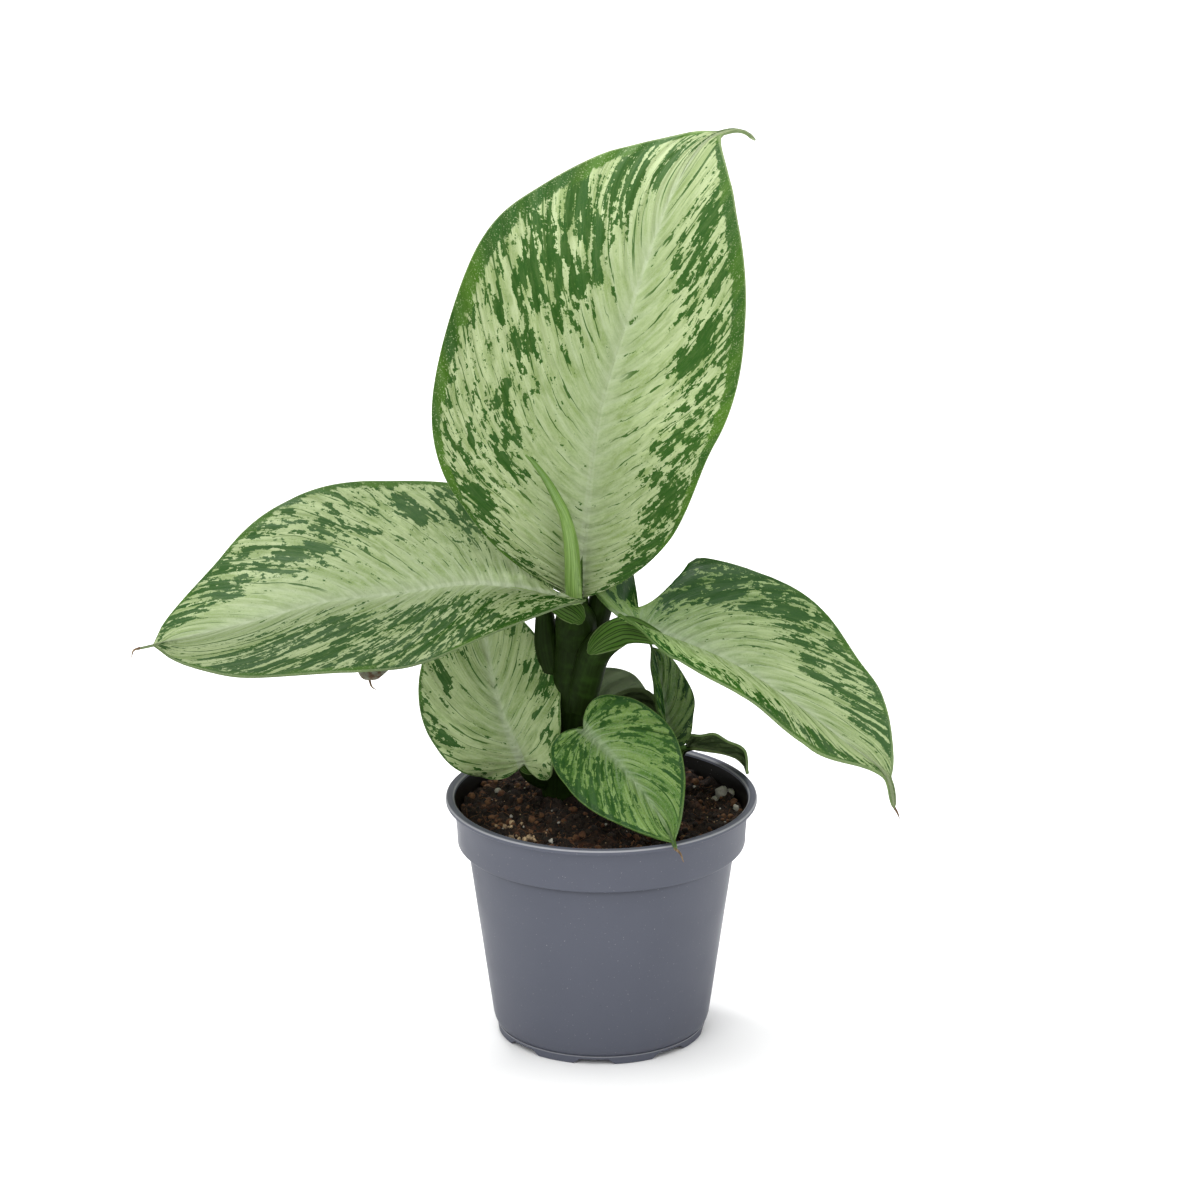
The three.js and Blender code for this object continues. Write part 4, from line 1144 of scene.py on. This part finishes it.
def peat_body(level):
    """A disc with rings close together on top, then the soil's wall and its underside."""
    wall_radii, wall_heights = np.array(SOIL_WALL).T
    rings = np.concatenate([np.linspace(0, SOIL_REACH, SOIL_RINGS), wall_radii])
    piece, a, share = add_grid("peat_soil", 300, len(rings) - 1)
    at = np.rint(share * (len(rings) - 1)).astype(int)
    x, y = rings[at] * np.cos(a * np.pi), rings[at] * np.sin(a * np.pi)
    z = soil_top(x, y, level)
    wall = at >= SOIL_RINGS
    z[wall] = wall_heights[at[wall] - SOIL_RINGS]
    move_to(piece.data, placed(np.stack([x, y, z], -1)))
    merge_doubles(piece, 1e-6)
    close_ends(piece)
    return piece


def lump_prototype(fineness):
    """Points and faces of a small round lump."""
    bpy.ops.object.select_all(action="DESELECT")
    bpy.ops.mesh.primitive_ico_sphere_add(subdivisions=fineness, radius=1)
    lump = bpy.context.object
    points = positions(lump.data)
    faces = np.array([tuple(f.vertices) for f in lump.data.polygons])
    bpy.data.objects.remove(lump)
    return points, faces


def scattered(prototype, faces, spots, sizes, rng, squeeze=0.65):
    """Copies of a small lump, each turned, stretched and sized at random."""
    all_points, all_faces = [], []
    for k, (spot, size) in enumerate(zip(spots, sizes)):
        turn, _ = np.linalg.qr(rng.normal(size=(3, 3)))
        if np.linalg.det(turn) < 0:
            turn[:, 0] = -turn[:, 0]
        stretch = rng.uniform(squeeze, 1.0, 3)
        lump = prototype * (1 + rng.uniform(-0.22, 0.22, (len(prototype), 1)))
        all_points.append((lump * stretch) @ turn.T * size + spot)
        all_faces.append(faces + k * len(prototype))
    return np.vstack(all_points), np.vstack(all_faces)


def mesh_piece(name, points, faces, material):
    mesh = bpy.data.meshes.new(name)
    mesh.from_pydata(placed(points).tolist(), [], faces.tolist())
    mesh.materials.append(material)
    piece = bpy.data.objects.new(name, mesh)
    bpy.context.collection.objects.link(piece)
    return piece


def soil_spots(rng, count, reach, level):
    """Random places on the soil, clear of the stems."""
    radius = reach * np.sqrt(rng.uniform(0, 1, count))
    angle = rng.uniform(-np.pi, np.pi, count)
    x, y = radius * np.cos(angle), radius * np.sin(angle)
    clear = np.all([np.hypot(x - at_x, y - at_y) > away for at_x, at_y, away in STEM_SPOTS], 0)
    x, y = x[clear], y[clear]
    return np.stack([x, y, soil_top(x, y, level)], -1)


def crumb_heap(rng, count, level, dark, red):
    """Loose crumbs, one in three of them red."""
    points, faces = lump_prototype(1)
    spots = soil_spots(rng, count, 26.9, level)
    sizes = 0.14 + 0.9 * rng.uniform(0, 1, len(spots)) ** 5
    heap = mesh_piece("crumbs", *scattered(points, faces, spots, sizes, rng), dark)
    heap.data.materials.append(red)
    for k, face in enumerate(heap.data.polygons):
        face.material_index = int((k // len(faces)) % 3 == 0)
    return heap


def perlite_heap(rng, level, material):
    """The large grains of perlite where they lie, and small ones anywhere."""
    x, y, size = np.array(PERLITE).T
    large = np.stack([x, y, soil_top(x, y, level) + 0.35 * size], -1)
    small = soil_spots(rng, 46, 25.5, level)
    sizes = np.concatenate([size * 0.8, rng.uniform(0.15, 0.4, len(small))])
    spots = np.vstack([large, small])
    return mesh_piece("grains", *scattered(*lump_prototype(2), spots, sizes, rng), material)


def chip_heap(rng, level, material):
    """Small chips anywhere, and larger ones in two heaps."""
    small = soil_spots(rng, 150, 26.3, level)
    large = np.vstack([rng.normal(middle, spread, (12, 2)) for middle, spread in CHIP_HEAPS])
    large = np.column_stack([large, soil_top(*large.T, level) + 0.5])
    sizes = np.concatenate([rng.uniform(0.12, 0.3, len(small)),
                            rng.uniform(0.35, 0.9, len(large))])
    spots = np.vstack([small, large])
    lumps = scattered(*lump_prototype(1), spots, sizes, rng, squeeze=0.4)
    return mesh_piece("chips", *lumps, material)


def strand_heap(rng, count, level, material):
    """Thin three-sided strands that lie curved on the soil."""
    points, faces = [], []
    for spot in soil_spots(rng, count, 24.5, level):
        heading = rng.uniform(-np.pi, np.pi)
        bend = rng.uniform(-0.5, 0.5)
        size = rng.uniform(0.5, 1.1)
        thick = rng.uniform(0.03, 0.075)
        first = len(points)
        for k in range(STRAND_STEPS + 1):
            for j in range(3):
                turn = 2 * np.pi * j / 3
                points.append(spot + thick * np.array([-np.sin(heading) * np.cos(turn),
                                                       np.cos(heading) * np.cos(turn),
                                                       np.sin(turn)]))
            spot = spot + size * np.array([np.cos(heading), np.sin(heading), 0])
            if np.hypot(*spot[:2]) > STRAND_REACH:
                spot[:2] *= STRAND_REACH / np.hypot(*spot[:2])
            spot[2] = soil_top(spot[:1], spot[1:2], level)[0] + 0.25 + 0.2 * math.sin(2 * k)
            heading += bend
        for k in range(STRAND_STEPS):
            for j in range(3):
                a, b = first + 3 * k + j, first + 3 * k + (j + 1) % 3
                faces += [(a, b, b + 3), (a, b + 3, a + 3)]
        last = first + 3 * STRAND_STEPS
        faces += [(first, first + 2, first + 1), (last, last + 1, last + 2)]
    return mesh_piece("strands", np.array(points), np.array(faces), material)


class POTPLANT_OT_soil(bpy.types.Operator):
    """Fill the pot with peat, and scatter crumbs, strands and perlite on it"""
    bl_idname = "potplant.soil"
    bl_label = "Soil"

    def execute(self, context):
        soil = context.scene.potplant_soil
        colours = paints(soil)
        level = soil.level / MM
        rng = np.random.default_rng(6)
        piece = peat_body(level)
        piece.data.materials.append(soil_material(colours))
        dark = grain_material("dark_crumbs", colours["peat_dark"], colours["peat"])
        red = grain_material("red_crumbs", colours["peat_red"], colours["fibre"])
        pale = grain_material("perlite", colours["perlite"], dimmed(soil.perlite, 0.8))
        beige = grain_material("chips", colours["chip"], dimmed(soil.chip, 0.6))
        join(piece,
             crumb_heap(rng, soil.crumbs, level, dark, red),
             perlite_heap(rng, level, pale),
             chip_heap(rng, level, beige),
             strand_heap(rng, soil.fibres, level, red))
        smooth_faces(piece, 60)
        keep(piece, "soil", "soil")
        return {"FINISHED"}


# ---------------------------------------------------------------- stems, spear and leaves
def round_section(angle, share, centre):
    return np.ones_like(angle)


def cane_section(angle, share, centre, scars):
    """Nearly round, with a raised ring at each scar."""
    z = centre[:, 2]
    rings = sum(0.06 * np.exp(-(((z - scar - 0.5 * np.sin(angle)) / 0.45) ** 2))
                for scar in scars)
    return 1 + rings + 0.02 * np.sin(3 * angle + z / 3)


def rolled_section(angle, share, centre):
    """A rolled leaf, whose outer edge makes a step that winds up the roll."""
    seam = (angle - 1.2 + 2.5 * share) % (2 * np.pi)
    return 1 + 0.16 * np.exp(-seam / 0.7) - 0.05 * np.cos(2 * angle)


def channel_section(angle, share, centre):
    """Round below, with a shallow channel between two raised edges on its upper side."""
    groove = 0.34 * np.exp(-((angle / 0.7) ** 2))
    edges = 0.1 * np.exp(-(((np.abs(angle) - 1.3) / 0.3) ** 2))
    return 1 + (edges - groove) * smooth(share, 0.05, 0.3)


# the dry parts of a leaf: radii, section, steps, sides, guide and colour
DRY_PARTS = {
    "thread": ((0.28, 0.2, 0.06), round_section, 14, 8, (0, 0, 1), "dry"),
    "flap": ((0.2, 1, 1.2, 0.3), channel_section, 24, 16, (0, -1, 0.4), "papery"),
}


class POTPLANT_OT_stems(bpy.types.Operator):
    """Grow the two stems, with the scars of shed leaves"""
    bl_idname = "potplant.stems"
    bl_label = "Stems"

    def execute(self, context):
        colours = paints(context.scene.potplant_plant)
        for name, stem in STEMS.items():
            section = partial(cane_section, scars=stem["scars"])
            piece = rod_piece(name + "_piece", stem["points"], stem["radii"], section, 90, 40,
                              TO_FRONT)
            sheaths = [rod_piece(name + "_sheath", points, (2.2, 2.4, 2.5, 1.6), section, 40, 28,
                                 TO_FRONT) for points in stem["sheaths"]]
            if sheaths:
                join(piece, *sheaths)
            smooth_faces(piece, 50)
            keep(piece, name, "stem", stalk_material(name + "_skin", colours, 2.0))
        return {"FINISHED"}


class POTPLANT_OT_spear(bpy.types.Operator):
    """Roll the youngest leaf into a spear"""
    bl_idname = "potplant.spear"
    bl_label = "Spear"

    def execute(self, context):
        piece = rod_piece("rolled_spear", SPEAR["points"], SPEAR["radii"], rolled_section, 110, 48,
                          TO_FRONT)
        smooth_faces(piece, 60)
        keep(piece, "leaf_spear", "young_spear",
             spear_material(paints(context.scene.potplant_plant)))
        return {"FINISHED"}


class POTPLANT_OT_leaves(bpy.types.Operator):
    """Grow every leaf: its blade, the midrib under it and its stalk"""
    bl_idname = "potplant.leaves"
    bl_label = "Leaves"

    def execute(self, context):
        plant = context.scene.potplant_plant
        colours = paints(plant)
        slots = {entry["node"]: entry["material_slot"] for entry in frame["record"]["subparts"]}
        for name, leaf in LEAVES.items():
            look = LOOKS[name]
            blade = Blade(leaf, look, plant.thickness / MM)
            size = LARGE if blade.length > LONGEST_SMALL else SMALL
            piece = blade_piece(name + "_blade", blade, size)
            piece.data.materials.append(BladeShader(name + "_skin", look, colours).painted())
            stalk = self.stalk(name, leaf, blade)
            stalk.data.materials.append(stalk_material(name + "_stalk", colours, look["seed"]))
            join(piece, stalk, *self.dry_parts(name, leaf, colours))
            smooth_faces(piece, 60)
            keep(piece, name, slots[name])
        return {"FINISHED"}

    def stalk(self, name, leaf, blade):
        """One rod from the clasp, up the stalk and on under the blade as its midrib."""
        points = [np.array(p, float) for p in leaf["stalk"][:0:-1]]
        radii = list(leaf["radii"][:0:-1])
        for share in np.arange(1, RIB_POINTS + 1) / RIB_POINTS:
            p = np.array([blade.length * share * RIB_REACH])
            spot, along = blade.rib.place(p)
            up = square_to(three_way(leaf["face"], p / blade.length), along)
            radius = leaf["radii"][0] * 0.8 * (1 - share) ** 0.8 + 0.1
            points.append((spot - up * (radius + 0.15))[0])
            radii.append(radius)
        base = Line(points[:len(leaf["stalk"])]).length / Line(points).length
        return rod_piece(name + "_stalk", points, radii, channel_section, 120, 32,
                         leaf.get("guide", (-0.1, -0.4, 0.9)), base, (base * 0.46, base * 0.68))

    def dry_parts(self, name, leaf, colours):
        for key, (radii, section, steps, sides, guide, colour) in DRY_PARTS.items():
            if key in leaf:
                part = rod_piece(f"{name}_{key}", leaf[key], radii, section, steps, sides, guide)
                part.data.materials.append(grain_material(f"{name}_{colour}", colours[colour],
                                                          colours["dry_dark"]))
                yield part


class POTPLANT_OT_stage(bpy.types.Operator):
    """Set the floor, the light and the camera"""
    bl_idname = "potplant.stage"
    bl_label = "Stage"

    def execute(self, context):
        scene = context.scene
        stage = scene.potplant_stage
        self.floor(paint(stage.floor))
        for name, (size, spot) in LIGHTS.items():
            self.light(name, getattr(stage, name), size, spot)
        world = bpy.data.worlds.new("studio")
        world.use_nodes = True
        surround = world.node_tree.nodes["Background"].inputs
        surround[0].default_value = WHITE
        surround[1].default_value = stage.surround
        scene.world = world
        scene.view_settings.view_transform = "Standard"
        scene.camera = self.camera()
        return {"FINISHED"}

    def floor(self, white):
        bpy.ops.mesh.primitive_plane_add(size=12, location=(0, 0, 0))
        floor = bpy.context.object
        floor.name = "floor"
        s = Shader("floor_paper", 0.9, 0.1)
        grain = s.cloud(s.object_place(), 40.0)
        floor.data.materials.append(s.finish(s.blend(grain, white, mixed(white, BLACK, 0.01))))
        floor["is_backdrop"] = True

    def light(self, name, power, size, spot):
        aim = Vector(placed([0, 0, 80])) - Vector(spot)
        bpy.ops.object.light_add(type="AREA", location=spot,
                                 rotation=aim.to_track_quat("-Z", "Y").to_euler())
        lamp = bpy.context.object
        lamp.name = name
        lamp.data.energy = power
        lamp.data.size = size

    def camera(self):
        away = Vector((0, -math.cos(CAMERA_RISE), math.sin(CAMERA_RISE)))
        spot = Vector(placed(CAMERA_TARGET)) + away * CAMERA_DISTANCE
        bpy.ops.object.camera_add(location=spot, rotation=(math.pi / 2 - CAMERA_RISE, 0, 0))
        camera = bpy.context.object
        camera.data.sensor_width = SENSOR
        camera.data.lens = SENSOR * FOCAL_PIXELS / FRAME_PIXELS
        camera.data.clip_start, camera.data.clip_end = 0.05, 30
        return camera


OPERATORS = (POTPLANT_OT_pot, POTPLANT_OT_soil, POTPLANT_OT_stems, POTPLANT_OT_spear,
             POTPLANT_OT_leaves, POTPLANT_OT_stage)
SETTINGS = {"potplant_pot": PotSettings, "potplant_soil": SoilSettings,
            "potplant_plant": PlantSettings, "potplant_stage": StageSettings}


class POTPLANT_PT_panel(bpy.types.Panel):
    """The plant's settings and the buttons that build it"""
    bl_label = "Potted Dieffenbachia"
    bl_space_type = "VIEW_3D"
    bl_region_type = "UI"
    bl_category = "Dieffenbachia"

    def draw(self, context):
        for attribute, group in SETTINGS.items():
            box = self.layout.box()
            settings = getattr(context.scene, attribute)
            for key in group.__annotations__:
                box.prop(settings, key)
        for operator in OPERATORS:
            self.layout.operator(operator.bl_idname)


def register():
    for group in (*SETTINGS.values(), *OPERATORS, POTPLANT_PT_panel):
        bpy.utils.register_class(group)
    for attribute, group in SETTINGS.items():
        setattr(bpy.types.Scene, attribute, bpy.props.PointerProperty(type=group))


def unregister():
    for attribute in SETTINGS:
        delattr(bpy.types.Scene, attribute)
    for group in (POTPLANT_PT_panel, *reversed(OPERATORS), *SETTINGS.values()):
        bpy.utils.unregister_class(group)


def main():
    register()
    bpy.ops.potplant.pot()
    bpy.ops.potplant.soil()
    bpy.ops.potplant.stems()
    bpy.ops.potplant.spear()
    bpy.ops.potplant.leaves()
    bpy.ops.potplant.stage()
    boxes = {"cad": CAD_BOX, "visual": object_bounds()}
    ({key: [[float(v) for v in corner] for corner in box]
               for key, box in boxes.items()})


if __name__ == "__main__":
    main()
